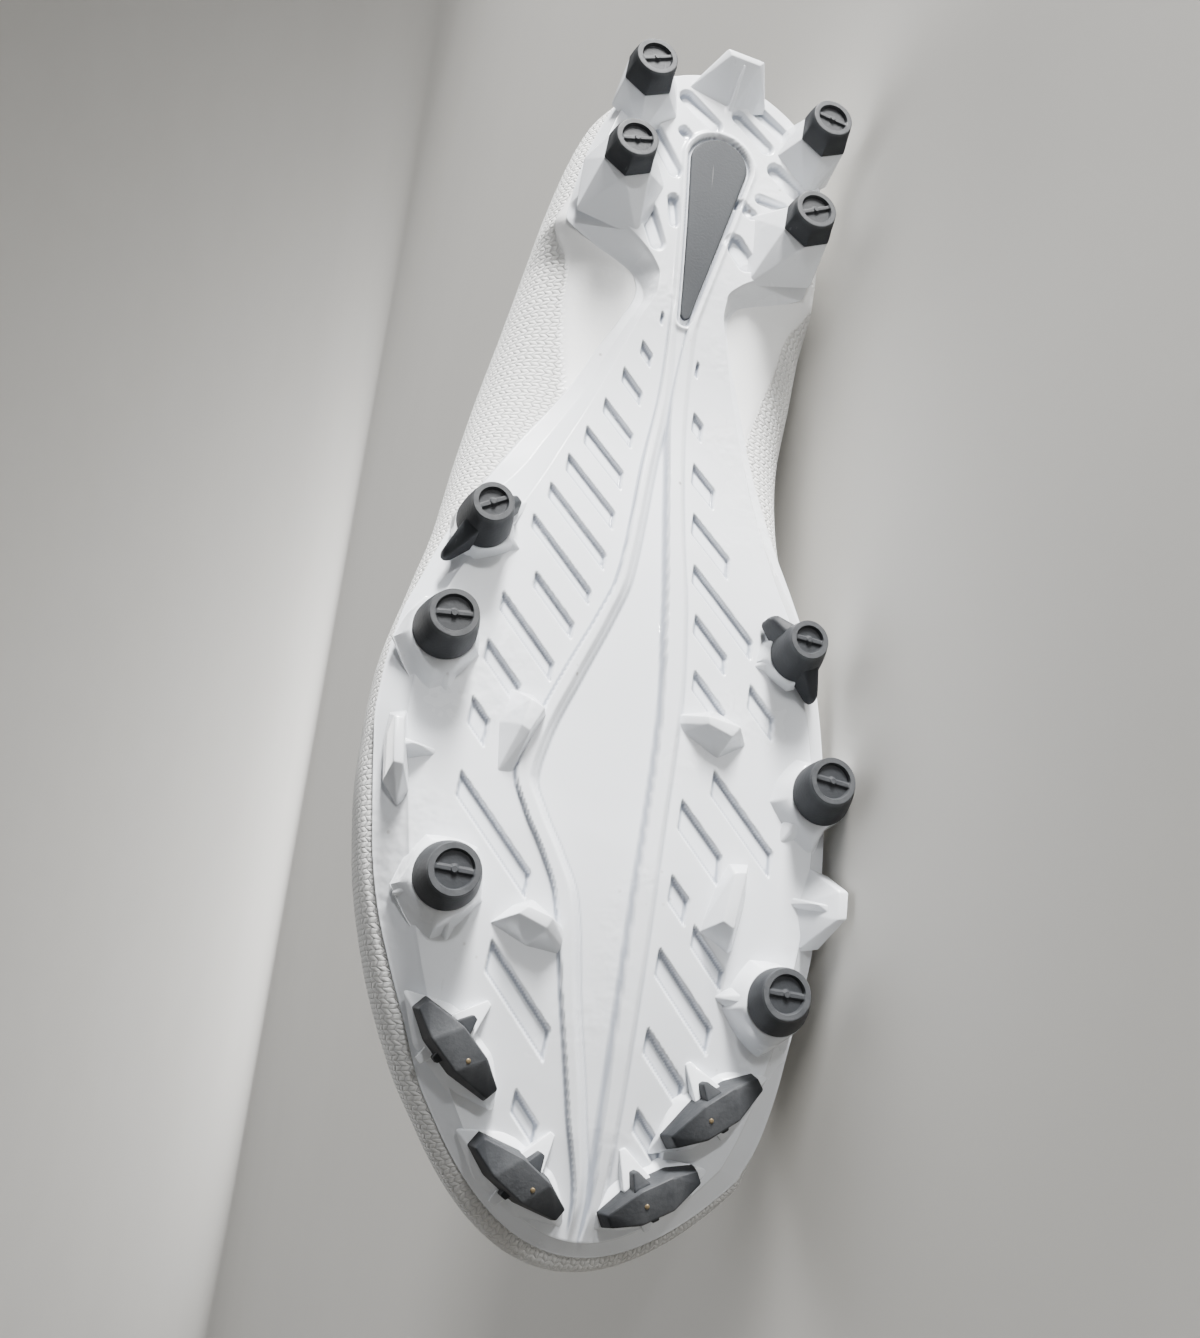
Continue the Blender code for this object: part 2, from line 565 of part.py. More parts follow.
def make_tip(stud, parts, cutters):
    """Grey tip of a round stud: rim, sunk face and a bar across it."""
    name, kind = stud[0], stud[5]
    tip_radius, root_radius, height, sides = TIP_SIZES[kind]
    end, root = stud_axis(stud)
    shoulder = end + (root - end) * TIP_SHOULDER
    rings = [
        tip_ring(root, root_radius, sides),
        tip_ring(shoulder, tip_radius),
        tip_ring(end, tip_radius - TIP_RIM / 4),
    ]
    points = np.concatenate(rings)
    faces = grid_faces(len(rings), TIP_POINTS, closed=True)
    faces.append(tuple(range(TIP_POINTS))[::-1])
    faces.append(tuple(range(2 * TIP_POINTS, 3 * TIP_POINTS)))
    obj = outward(new_object(name, points, faces, (0.05, 0.055, 0.06), parts))
    fins = [fin_points(fin, end, root) for fin in FINS if fin[0] == name]
    if fins:
        combine(obj, hull_mesh(fins), "UNION", cutters)
    half_turn = np.linspace(0, math.pi, 9)
    pockets = []
    for side in (1, -1):
        reach = tip_radius - TIP_RIM
        flat = np.stack(
            [reach * np.cos(half_turn), side * np.maximum(reach * np.sin(half_turn), TIP_BAR / 2)],
            axis=-1,
        )
        keep = np.hypot(flat[:, 0], flat[:, 1]) <= reach * 1.001
        flat = flat[keep]
        deep = [np.append(p, TIP_RECESS) for p in flat]
        out = [np.append(p, -TIP_RECESS) for p in flat]
        pockets.append(end + np.array(deep + out))
    combine(obj, hull_mesh(pockets), "DIFFERENCE", cutters)
    return obj


def fin_points(fin, end, root):
    """Fin of a waist tip, as high as the tip at the tip's side and running out to its end."""
    _, at, across, width = fin
    far = place(at, across, 0.0)
    along = far - root
    along[2] = 0.0
    along = along / np.linalg.norm(along)
    side = np.array([-along[1], along[0], 0.0])
    half = width / 200 * BALL_WIDTH
    near_top = end + along * WING_TIP_RADIUS * 0.6 + np.array([0.0, 0.0, TIP_RIM])
    near_low = root + along * WING_TIP_ROOT * 0.6
    far_top = far + np.array([0.0, 0.0, -FIN_HEIGHT])
    far_low = far.copy()
    far_low[2] = root[2]
    return np.array([
        near_top + side * half, near_top - side * half, far_top + side * half * 0.5,
        far_top - side * half * 0.5, near_low + side * half * 2.2, near_low - side * half * 2.2,
        far_low + side * half * 0.7, far_low - side * half * 0.7,
    ])


def stud_feet():
    """White feet that the round studs stand on, from a wide root to the tip's own ring."""
    shapes = []
    turn = np.arange(12) * 2 * math.pi / 12
    for stud in STUDS:
        name, _, _, root_at, root_across, kind = stud
        _, root_radius, _, sides = TIP_SIZES[kind]
        _, root = stud_axis(stud)
        toe, heel, lateral, medial = STUD_FEET[name]
        ring = tip_ring(root + np.array([0.0, 0.0, GAP]), root_radius, sides)
        reach_at = np.where(np.cos(turn) > 0, toe, heel) * BALL_WIDTH / LENGTH
        reach_across = np.where(np.sin(turn) > 0, lateral, medial)
        foot = place(
            root_at + reach_at * np.cos(turn), root_across + reach_across * np.sin(turn),
            FOOT_SINK,
        )
        shapes.append(np.concatenate([ring, foot]))
    return shapes


def lug_hulls():
    shapes = []
    for _, height, foot, top in LUGS:
        foot, top = np.array(foot), np.array(top)
        shapes.append(np.concatenate([
            place(foot[:, 0], foot[:, 1], FOOT_SINK),
            place(top[:, 0], top[:, 1], -height / 100 * STUD_HEIGHT),
        ]))
    return shapes


def blade_frame(blade):
    """Ends of a blade in plan, its direction and the sideways direction."""
    _, at_a, across_a, at_b, across_b, _, _ = blade
    a, b = place(at_a, across_a, 0.0), place(at_b, across_b, 0.0)
    along = (b - a) * np.array([1.0, 1.0, 0.0])
    length = np.linalg.norm(along)
    along = along / length
    return (a + b) / 2, length, along, np.array([-along[1], along[0], 0.0])


def blade_plan(blade, spread):
    """Long hexagon of a blade in plan, grown by spread on every side."""
    middle, length, along, side = blade_frame(blade)
    half, wide = length / 2 + spread, BLADE_WIDTH / 2 + spread
    corners = ((1, 0.35), (0.25, 1), (-0.45, 1), (-1, 0.5), (-1, -0.35), (-0.25, -1), (0.45, -1), (1, -0.5))
    return np.array([middle + along * half * u + side * wide * v for u, v in corners])


def blade_shapes(blade):
    """Blade body and its side nub, as sets of points for hulls."""
    low, high = blade_plan(blade, BLADE_DRAFT), blade_plan(blade, -BLADE_DRAFT)
    nub = place(blade[5], blade[6], 0.0)
    middle, _, along, side = blade_frame(blade)
    toward = nub - middle
    toward[2] = 0.0
    nub_side = side * np.sign(np.dot(toward, side))

    def at_height(points, height):
        points = np.array(points)
        at = points[:, 0] * 100 / LENGTH
        points[:, 2] = base(at) - height
        return points

    body = np.concatenate([at_height(low, BLADE_SEAT + GAP), at_height(high, BLADE_HEIGHT)])
    nubs = []
    for facing in (1, -1):
        reach = BLADE_WIDTH / 2 + (NUB_REACH if facing > 0 else NUB_REACH / 2)
        centre = middle + along * np.dot(toward, along) * (1.0 if facing > 0 else -0.4)
        out = nub_side * facing
        corners = [
            centre + along * NUB_ROOT, centre - along * NUB_ROOT,
            centre + out * reach + along * NUB_TIP, centre + out * reach - along * NUB_TIP,
        ]
        nubs.append(np.concatenate([
            at_height(corners, BLADE_SEAT + GAP),
            at_height([c - out * BLADE_DRAFT for c in corners], BLADE_HEIGHT * 0.9),
        ]))
    return body, nubs


def make_blade(blade, parts, cutters):
    body, nubs = blade_shapes(blade)
    mesh = hull_mesh([body])
    points = [v.co.copy() for v in mesh.vertices]
    faces = [tuple(p.vertices) for p in mesh.polygons]
    obj = outward(new_object(blade[0], points, faces, (0.05, 0.055, 0.06), parts))
    combine(obj, hull_mesh(nubs), "UNION", cutters)
    return obj


def blade_seats():
    """Low white seats that the toe blades stand on."""
    shapes = []
    for blade in BLADES:
        wide, narrow = blade_plan(blade, BLADE_SEAT_SPREAD), blade_plan(blade, BLADE_SEAT_SPREAD / 2)
        for points, height in ((wide, -FOOT_SINK), (narrow, BLADE_SEAT)):
            points[:, 2] = base(points[:, 0] * 100 / LENGTH) - height
        shapes.append(np.concatenate([wide, narrow]))
    return shapes


def opening_loop():
    """Plan and height of the collar and throat edge, point for point above the widest line."""
    first, last = WIDEST[0][0], WIDEST[-1][0]
    wall = first + side_stations() * (last - first)
    at = smooth(OPENING, 1, wall)
    half, centre, height = (smooth(OPENING, c, wall) for c in (2, 3, 4))
    lateral = np.stack([at, centre + half, height], axis=-1)
    medial = np.stack([at, centre - half, height], axis=-1)[::-1]
    share = end_stations()
    toe = np.stack([
        OPENING[-1][1] + (OPENING_TIPS[1] - OPENING[-1][1]) * (1 - share**2),
        OPENING[-1][3] - share * OPENING[-1][2], np.full(len(share), OPENING[-1][4]),
    ], axis=-1)
    heel = np.stack([
        OPENING[0][1] + (OPENING_TIPS[0] - OPENING[0][1]) * (1 - share**2),
        OPENING[0][3] + share * OPENING[0][2], OPENING[0][4] + 2 * (1 - share**2),
    ], axis=-1)
    return np.concatenate([lateral, toe, medial, heel])


def bottom_loop():
    """Turned-in edge of the upper, which lies on the plate inside the plate's own edge."""
    edge = loop(PLATE_EDGE, PLATE_TIPS)
    sides, ends = len(side_stations()), len(end_stations())
    inset = np.zeros_like(edge)
    inset[:sides, 1] = -BOTTOM_LAP
    inset[sides + ends:2 * sides + ends, 1] = BOTTOM_LAP
    share = end_stations()
    inset[sides:sides + ends, 0] = -2.2 * (1 - share**2)
    inset[sides:sides + ends, 1] = BOTTOM_LAP * share
    inset[2 * sides + ends:, 0] = 2.2 * (1 - share**2)
    inset[2 * sides + ends:, 1] = -BOTTOM_LAP * share
    return edge + inset


def upper_surface():
    """Outer surface of the upper [row, column, xyz], from the turned-in edge to the opening."""
    bottom, wide, top = bottom_loop(), loop(WIDEST, WIDEST_TIPS), opening_loop()
    at = wide[:, 0]
    wide_up, square, rise, reach, drop = (smooth(SECTION, c, at) for c in (1, 2, 3, 4, 5))
    low, high = PLATE_THICKNESS + GAP, PLATE_THICKNESS + wide_up / 100 * HEEL_HEIGHT
    q = place(bottom[:, 0], bottom[:, 1], low)
    w = place(at, wide[:, 1], high)
    o = place(top[:, 0], top[:, 1], 0.0)
    o[:, 2] = top[:, 2] / 100 * HEEL_HEIGHT
    film = smooth(FILM, 1, at)
    step = FILM_STEP * np.clip((FILM_END - at) / 1.5, 0, 1)
    rows = []
    lower = [film * 0.0, film * 0.4, film * 0.75, film, film + 0.05]
    lower += [film + 0.05 + (0.95 - film) * s for s in (0.33, 0.66)]
    for i, share in enumerate(lower):
        turn = np.clip(share, 0, 1) * math.pi / 2
        inward = 1 - np.sin(turn) ** (2 / square)
        up = 1 - np.cos(turn) ** (2 / square)
        point = w + (q - w) * inward[:, None]
        point[:, 2] = base(point[:, 0] * 100 / LENGTH) + low + (high - low) * up
        if 1 <= i <= 3:
            out = (w - q) * np.array([1.0, 1.0, 0.0])
            out = out / np.linalg.norm(out, axis=1)[:, None]
            point += out * (step * np.sin(turn))[:, None]
            point[:, 2] -= step * np.cos(turn)
        rows.append(point)
    for share in (0.0, 0.15, 0.34, 0.57, 0.8, 1.0):
        one, two, three = 3 * share * (1 - share) ** 2, 3 * share**2 * (1 - share), share**3
        shift = (two * (1 - reach) + three)[:, None]
        point = w + (o - w) * shift
        climb = o[:, 2] - w[:, 2]
        point[:, 2] = w[:, 2] + climb * (one * rise + two * (1 - drop) + three)
        rows.append(point)
    return np.array(rows)


def make_upper(parts):
    grid = upper_surface()
    rows, columns = grid.shape[:2]
    faces = [f[::-1] for f in grid_faces(rows, columns, closed=True)]
    obj = new_object("upper", grid, faces, (0.78, 0.78, 0.76), parts, 0.7)
    solidify = obj.modifiers.new("Wall", "SOLIDIFY")
    solidify.thickness = WALL
    solidify.offset = -1.0
    solidify.use_even_offset = True
    return obj


def make_insole(parts):
    table = [
        (at, lateral - lap, medial + lap)
        for (at, lateral, medial), lap in zip(WIDEST, INSOLE_LAP)
    ]
    tips = (WIDEST_TIPS[0] + INSOLE_TIP_LAP, WIDEST_TIPS[1] - INSOLE_TIP_LAP)
    grid = patch(table, tips, insole_columns)
    lift = smooth(INSOLE_LIFT, 1, grid[..., 0])
    under = place(grid[..., 0], grid[..., 1], PLATE_THICKNESS + 2 * GAP + WALL + lift)
    rows, columns = grid.shape[:2]
    obj = new_object("insole", under, grid_faces(rows, columns), (0.6, 0.6, 0.6), parts, 0.8)
    solidify = obj.modifiers.new("Thickness", "SOLIDIFY")
    solidify.thickness = INSOLE_THICKNESS
    solidify.offset = 1.0
    return obj


def throat_frame(at):
    """Half width, centre and height of the throat at places along it."""
    table = [(row[1], *row[2:]) for row in OPENING if row[1] > 30]
    return tuple(smooth(table, c, at) for c in (1, 2, 3))


def make_tongue(parts):
    """Padded strip under the throat, rising clear of the collar at its top end."""
    at = np.linspace(66.0, 33.0, 15)
    half, centre, height = throat_frame(at)
    wide = np.minimum(half + TONGUE_LAP * 100 / BALL_WIDTH, TONGUE_HALF * 100 / BALL_WIDTH)
    share = np.linspace(1, -1, 9)
    across = centre[:, None] + share[None, :] * wide[:, None]
    beyond = np.clip(np.abs(share)[None, :] * wide[:, None] - half[:, None], 0, None)
    sag = TONGUE_SAG * (1 + 2.2 * np.clip((44.0 - at) / 6.0, 0, 1))
    drop = 0.0008 * beyond + sag[:, None] * share[None, :] ** 2
    rise = TONGUE_RISE * np.clip((40.0 - at) / 7.0, 0, 1) ** 1.5
    up = (height / 100 * HEEL_HEIGHT + rise - WALL)[:, None] - drop
    points = np.stack([
        np.broadcast_to(at[:, None], across.shape) * LENGTH / 100,
        across * BALL_WIDTH / 100, up,
    ], axis=-1)
    rows, columns = across.shape
    faces = [f[::-1] for f in grid_faces(rows, columns)]
    obj = new_object("tongue", points, faces, (0.7, 0.7, 0.68), parts, 0.8)
    solidify = obj.modifiers.new("Padding", "SOLIDIFY")
    solidify.thickness = TONGUE_THICKNESS
    solidify.offset = -1.0
    return obj


def lace_bar(start, end, crown):
    """Flat bar between two points, raised in the middle, as sets of points for hulls."""
    start, end = np.asarray(start), np.asarray(end)
    along = (end - start) / np.linalg.norm(end - start)
    side = np.cross(along, (0.0, 0.0, 1.0))
    side = side / np.linalg.norm(side) * LACE_WIDTH / 2
    shares = np.linspace(0, 1, 4)
    spine = [start + (end - start) * s + np.array([0, 0, crown * 4 * s * (1 - s)]) for s in shares]
    thick = np.array([0.0, 0.0, LACE_THICKNESS])
    return [
        np.array([p + d + t for p in pair for d in (side, -side) for t in (0 * thick, thick)])
        for pair in zip(spine, spine[1:])
    ]


def make_lacing(parts, cutters):
    """Front bar and crossings from the lowest eyelets to the top ones, joined into one solid."""
    at = np.linspace(64.5, 43.0, LACE_CROSSINGS + 1)
    half, centre, height = throat_frame(at)
    reach = half + 5.0
    up = height / 100 * HEEL_HEIGHT + LACE_LIFT
    left = np.stack([at * LENGTH / 100, (centre + reach) * BALL_WIDTH / 100, up], axis=-1)
    right = np.stack([at * LENGTH / 100, (centre - reach) * BALL_WIDTH / 100, up], axis=-1)
    shapes = lace_bar(left[0], right[0], LACE_CROWN)
    for i in range(LACE_CROSSINGS):
        shapes += lace_bar(left[i], right[i + 1], LACE_CROWN)
        shapes += lace_bar(right[i], left[i + 1], LACE_CROWN)
    first = hull_mesh(shapes[:1])
    points = [v.co.copy() for v in first.vertices]
    faces = [tuple(p.vertices) for p in first.polygons]
    obj = outward(new_object("lacing", points, faces, (0.75, 0.75, 0.74), parts, 0.8))
    combine(obj, hull_mesh(shapes[1:]), "UNION", cutters, touching=True)
    return obj


def lay_down(parts, cutters):
    """Parents everything to an empty that lays the shoe on its medial side, centred on the floor."""
    frame = bpy.data.objects.new("rest_frame", None)
    parts.objects.link(frame)
    side_up = Matrix(((-1, 0, 0), (0, 0, 1), (0, 1, 0))).to_4x4()
    lay = Matrix.Rotation(REST_PITCH, 4, "Y") @ Matrix.Rotation(REST_ROLL, 4, "X") @ side_up
    for collection in (parts, cutters):
        for obj in collection.objects:
            if obj is not frame:
                obj.parent = frame
    bpy.context.view_layer.update()
    graph = bpy.context.evaluated_depsgraph_get()
    corners = []
    for obj in parts.objects:
        if obj.type == "MESH":
            mesh = obj.evaluated_get(graph).to_mesh()
            corners += [lay @ v.co for v in mesh.vertices]
            obj.evaluated_get(graph).to_mesh_clear()
    low = Vector([min(c[k] for c in corners) for k in range(3)])
    high = Vector([max(c[k] for c in corners) for k in range(3)])
    middle = (low + high) / 2
    frame.matrix_world = Matrix.Translation((-middle.x, -middle.y, -low.z)) @ lay


def main():
    for obj in list(bpy.data.objects):
        bpy.data.objects.remove(obj, do_unlink=True)
    parts = bpy.data.collections.new("football_cleat")
    cutters = bpy.data.collections.new("cutters")
    bpy.context.scene.collection.children.link(parts)
    bpy.context.scene.collection.children.link(cutters)
    cutters.hide_render = True
    make_outsole(parts, cutters)
    make_heel_inset(parts)
    for stud in STUDS:
        make_tip(stud, parts, cutters)
    for blade in BLADES:
        make_blade(blade, parts, cutters)
    make_upper(parts)
    make_insole(parts)
    make_tongue(parts)
    make_lacing(parts, cutters)
    lay_down(parts, cutters)


main()
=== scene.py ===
"""Left american football cleat on its medial side: moulded plate, grey tips, knitted upper, laces.

The shoe is worked out in its own frame: +X from heel to toe, +Y to the lateral side, +Z from the sole
up into the shoe, with the heel's back at X = 0 and the plate's flat at Z = 0. Then it is laid down
where the frame's solids lie. Lengths are metres. Tables give places along the shoe ("at") in percent of
its length, and places across it in percent of its ball width.
"""

import math

import bmesh
import bpy
import numpy as np
from mathutils import Matrix, Vector


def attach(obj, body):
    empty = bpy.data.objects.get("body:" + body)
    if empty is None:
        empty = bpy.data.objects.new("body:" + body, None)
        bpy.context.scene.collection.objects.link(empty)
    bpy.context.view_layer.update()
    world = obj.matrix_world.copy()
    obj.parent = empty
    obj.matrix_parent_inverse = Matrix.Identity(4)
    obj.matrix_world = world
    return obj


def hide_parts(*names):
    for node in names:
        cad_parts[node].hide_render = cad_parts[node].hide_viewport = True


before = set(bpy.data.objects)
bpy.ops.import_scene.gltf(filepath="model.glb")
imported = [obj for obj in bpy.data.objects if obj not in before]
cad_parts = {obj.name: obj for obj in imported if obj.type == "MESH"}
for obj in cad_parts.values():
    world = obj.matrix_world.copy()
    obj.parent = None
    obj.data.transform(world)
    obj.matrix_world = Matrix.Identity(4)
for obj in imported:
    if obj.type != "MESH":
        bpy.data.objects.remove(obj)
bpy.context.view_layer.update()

bl_info = {
    "name": "Football cleat",
    "version": (1, 0, 0),
    "blender": (4, 5, 0),
    "location": "View3D > Sidebar > Cleat",
    "description": "Builds a left american football cleat piece by piece",
    "category": "Add Mesh",
}

BODY = "root"

# Driving sizes, as in the solids
LENGTH = 0.290
BALL_WIDTH = 0.098
HEEL_HEIGHT = 0.082
ARCH_RISE = 0.006
TOE_SPRING = 0.016
PLATE_THICKNESS = 0.0045
STUD_HEIGHT = 0.012
WALL = 0.002
REST_ROLL = math.radians(-3.87)
REST_PITCH = math.radians(5.8)

# Metres in one percent of the length and of the ball width, and how deep a foot is let into the plate
AT_UNIT = LENGTH / 100
ACROSS_UNIT = BALL_WIDTH / 100
BURIED = 0.0012

# Plate, outer edge at the top of its side wall: at, lateral, medial
PLATE_EDGE = (
    (4.8, 25.5, -25.5), (7.6, 29.6, -29.0), (10.3, 32.0, -31.0), (13.8, 34.0, -31.6),
    (17.2, 35.0, -31.0), (20.0, 35.2, -30.0), (21.7, 26.5, -22.4), (23.4, 15.3, -12.8),
    (24.8, 13.8, -11.2), (27.6, 16.3, -13.3), (31.0, 20.4, -17.3), (34.5, 24.0, -21.0),
    (37.9, 28.6, -24.5), (41.4, 33.7, -28.5), (44.8, 38.0, -32.6), (48.3, 42.3, -37.7),
    (51.7, 45.4, -42.3), (55.2, 48.0, -46.0), (58.6, 50.3, -48.5), (62.1, 51.0, -50.5),
    (65.5, 50.7, -52.0), (69.0, 48.8, -53.0), (72.4, 46.5, -53.5), (75.9, 43.9, -53.4),
    (79.3, 40.3, -52.8), (82.8, 35.2, -51.8), (86.2, 29.6, -51.0), (89.7, 24.0, -49.3),
    (92.4, 17.9, -46.4),
)
PLATE_TIPS = (0.3, 99.1)

# Plate, edge of its flat underside: at, lateral, medial
FLAT_EDGE = (
    (4.5, 20.4, -20.4), (6.9, 26.0, -25.5), (10.3, 29.0, -28.0), (15.5, 31.6, -29.0),
    (18.3, 33.0, -28.0), (19.3, 25.5, -22.4), (20.7, 16.8, -16.3), (22.1, 11.7, -11.2),
    (23.4, 9.4, -8.8), (24.8, 9.2, -8.8), (27.6, 11.7, -11.0), (31.0, 14.5, -14.0),
    (34.5, 17.3, -17.1), (37.9, 20.4, -20.4), (41.4, 23.8, -23.5), (44.8, 27.0, -27.3),
    (48.3, 31.0, -31.6), (51.7, 36.7, -36.7), (55.2, 41.3, -40.3), (58.6, 43.9, -42.8),
    (62.1, 44.7, -45.2), (65.5, 44.2, -46.9), (69.0, 42.1, -48.0), (72.4, 39.5, -48.2),
    (75.9, 36.7, -48.0), (79.3, 33.3, -47.3), (82.8, 28.9, -46.3), (86.2, 24.0, -44.9),
    (89.7, 18.4, -42.4), (91.7, 14.3, -40.3),
)
FLAT_TIPS = (1.7, 97.9)
TOE_BOW_FROM = 80.0
HEEL_BOW_TO = 16.0

# Raised rails beside the smooth field: at, lateral outer and inner edge, medial inner and outer
RAILS = (
    (0.0, 5.0, 2.0, -2.0, -5.0), (5.0, 6.6, 3.6, -3.6, -6.6), (8.3, 9.4, 6.2, -6.2, -9.4),
    (11.7, 12.0, 9.2, -8.8, -11.6), (17.2, 10.2, 7.4, -6.4, -9.2), (22.4, 7.2, 5.0, -3.4, -5.6),
    (26.9, 4.4, 2.6, -0.6, -2.4), (34.1, 3.1, 0.5, -0.3, -3.7), (41.4, 4.4, 1.6, -2.3, -5.7),
    (48.3, 5.1, 2.4, -4.6, -8.4), (51.7, 5.9, 3.1, -5.9, -10.2), (55.2, 8.7, 5.6, -7.1, -11.6),
    (60.3, 13.8, 10.2, -9.0, -13.1), (65.5, 18.2, 14.5, -9.8, -13.5), (68.3, 19.6, 15.5, -10.0, -13.6),
    (70.7, 16.3, 12.0, -10.1, -13.7), (73.1, 11.4, 7.1, -10.2, -13.9), (75.9, 6.6, 2.2, -10.5, -14.3),
    (82.8, 0.5, -3.1, -11.7, -15.3), (89.7, -5.9, -9.2, -13.3, -16.5), (95.9, -11.7, -13.7, -15.1, -17.3),
    (99.3, -12.4, -13.9, -15.1, -16.7),
)
RAILS_FROM = 24.0
# Strength of the thin painted shade lines along the field's two edges
FIELD_LINE_PAINTED_SHADE = 0.28

# Slanted slots: at and across of the deep corner, run across of the deep edge, leg towards the toe
SLOTS = (
    (26.4, 7.1, -1.2, 1.2), (29.5, 10.2, -3.6, 1.4), (32.4, 13.3, -6.1, 1.5),
    (35.7, 16.3, -8.7, 1.6), (38.8, 19.4, -11.0, 1.9), (41.9, 22.4, -13.6, 1.8),
    (45.0, 25.2, -16.0, 1.6), (48.2, 27.6, -16.5, 1.4), (52.9, 24.5, -11.0, 1.5),
    (55.2, 30.6, -14.5, 1.7), (59.1, 31.6, -9.4, 1.8), (63.6, 32.0, -5.0, 2.2),
    (69.0, 31.0, -19.0, 2.0), (79.7, 17.3, -16.3, 2.3), (88.8, 5.6, -6.6, 1.7),
    (29.8, -4.4, -1.2, 1.5), (34.5, -6.1, -3.3, 1.9), (39.3, -8.0, -6.6, 2.1),
    (44.0, -9.6, -10.6, 2.1), (48.6, -11.3, -16.8, 1.8), (52.8, -13.3, -9.2, 1.8),
    (57.3, -15.0, -9.0, 1.8), (57.3, -28.5, -7.2, 2.1), (64.6, -23.0, -16.3, 2.1),
    (67.3, -16.8, -11.2, 2.4), (72.8, -17.3, -5.0, 2.1), (75.9, -24.0, -8.7, 1.7),
    (77.9, -17.5, -15.0, 2.1), (83.3, -18.4, -10.7, 1.9), (88.6, -19.9, -7.7, 1.7),
)
SLOT_SLOPE = 0.93
SLOT_WALL = 0.0007
SLOT_END = 0.0007
SLOT_FADE = 0.40
HEEL_SLOT_WALL = 0.0013

# Rounded slots of the heel: at and across of both ends, width in percent of BALL_WIDTH
HEEL_SLOTS = (
    (5.2, 11.8, 7.1, 3.4, 4.2), (8.9, 11.0, 9.2, 9.8, 2.8), (9.9, 18.6, 13.2, 11.4, 4.0),
    (16.1, 10.2, 18.2, 8.8, 2.8), (18.0, 15.9, 20.6, 12.0, 4.2), (3.7, -6.8, 5.6, -16.0, 3.6),
    (5.3, -2.8, 7.5, -11.6, 3.8), (9.6, -15.2, 11.0, -21.4, 4.4), (13.1, -12.4, 13.2, -19.0, 2.6),
    (14.1, -6.0, 14.9, -10.8, 2.8), (18.3, -7.8, 19.7, -11.8, 5.0),
)

# Heel inset, in metres
INSET_START = 0.0245
INSET_END = 0.0770
INSET_HALF_WIDTH = 0.0076
INSET_GAP = 0.0003
INSET_BORDER = 0.0011
INSET_POCKET = 0.0010
INSET_TAPER = 0.86

# Kinds of round tip: tip radius, root radius, height of the grey tip, flats of the root
TIP_SIZES = {
    "heel": (0.0051, 0.0066, 0.0060, 6),
    "ball": (0.0051, 0.0067, 0.0088, 0),
    "wing": (0.0044, 0.0060, 0.0096, 0),
}
TIP_RIM = 0.0012
TIP_RECESS = 0.0008
TIP_BAR = 0.0013
TIP_NUB = 0.0009

# Round studs: name, at and across of the tip, at and across of the root, kind, turn of the bar in degrees
STUDS = (
    ("heel_tip_back_lateral", 6.48, 23.7, 6.6, 23.9, "heel", 62),
    ("heel_tip_back_medial", 5.93, -24.4, 6.1, -24.8, "heel", 95),
    ("heel_tip_front_lateral", 15.34, 24.3, 15.4, 24.6, "heel", 70),
    ("heel_tip_front_medial", 16.03, -23.5, 16.1, -23.9, "heel", 58),
    ("waist_tip_lateral", 50.66, 37.9, 50.9, 38.2, "wing", 55),
    ("waist_tip_medial", 54.34, -36.3, 54.6, -37.4, "wing", 90),
    ("ball_tip_back_lateral", 59.55, 40.4, 59.8, 41.0, "ball", 80),
    ("ball_tip_front_lateral", 76.48, 29.1, 76.6, 29.3, "ball", 88),
    ("ball_tip_back_medial", 64.52, -45.7, 64.9, -47.3, "ball", 92),
    ("ball_tip_front_medial", 79.83, -41.1, 80.2, -43.2, "ball", 88),
)

# White foot under each round stud: spread towards the toe, the heel, lateral, medial
STUD_FEET = {
    "waist_tip_lateral": (7.5, 7.0, 6.0, 8.5),
    "waist_tip_medial": (7.5, 7.0, 8.5, 5.5),
    "ball_tip_back_lateral": (13.0, 8.0, 9.3, 8.5),
    "ball_tip_front_lateral": (12.0, 9.0, 9.5, 8.5),
    "ball_tip_back_medial": (13.0, 8.5, 11.0, 3.6),
    "ball_tip_front_medial": (11.0, 9.0, 10.0, 7.0),
}

# Flare of a foot: share of the way in from its spread to the tip's root, share of the way up
FOOT_FLARE = (
    (0.0, 0.0), (0.06, 0.0), (0.12, 0.04), (0.20, 0.12), (0.34, 0.30), (0.52, 0.56), (0.70, 0.80),
    (0.86, 0.95), (0.95, 1.0), (1.0, 1.0),
)
FOOT_FACETS = 5
FOOT_EDGE = 0.0008

# Faceted feet of the heel: tip's name, corners on the plate at and across
HEEL_FEET = (
    ("heel_tip_back_lateral",
     ((10.8, 22.0), (7.9, 13.0), (4.4, 14.6), (3.6, 20.0), (4.6, 29.0), (8.6, 31.0))),
    ("heel_tip_back_medial",
     ((11.0, -24.6), (8.0, -14.2), (4.5, -16.0), (3.3, -22.0), (4.6, -28.6), (9.0, -30.0))),
    ("heel_tip_front_lateral",
     ((20.0, 33.6), (20.6, 16.9), (15.2, 12.4), (12.2, 18.6), (11.8, 30.0), (15.0, 34.6))),
    ("heel_tip_front_medial",
     ((21.6, -13.0), (19.8, -30.0), (16.0, -32.0), (12.4, -29.6), (12.6, -20.0), (14.9, -10.8))),
)

# Pointed white ridges of the feet: tip's name, far end at and across
FOOT_ARMS = (
    ("waist_tip_lateral", 51.8, 27.6), ("waist_tip_lateral", 46.9, 27.9), ("waist_tip_medial", 56.1, -28.0),
    ("waist_tip_medial", 51.2, -28.6),
    ("ball_tip_back_lateral", 61.4, 50.3), ("ball_tip_back_lateral", 64.6, 36.9),
    ("ball_tip_front_lateral", 78.4, 39.0), ("ball_tip_front_lateral", 81.0, 25.6),
    ("ball_tip_back_medial", 69.6, -39.4), ("ball_tip_front_medial", 80.6, -30.2),
)

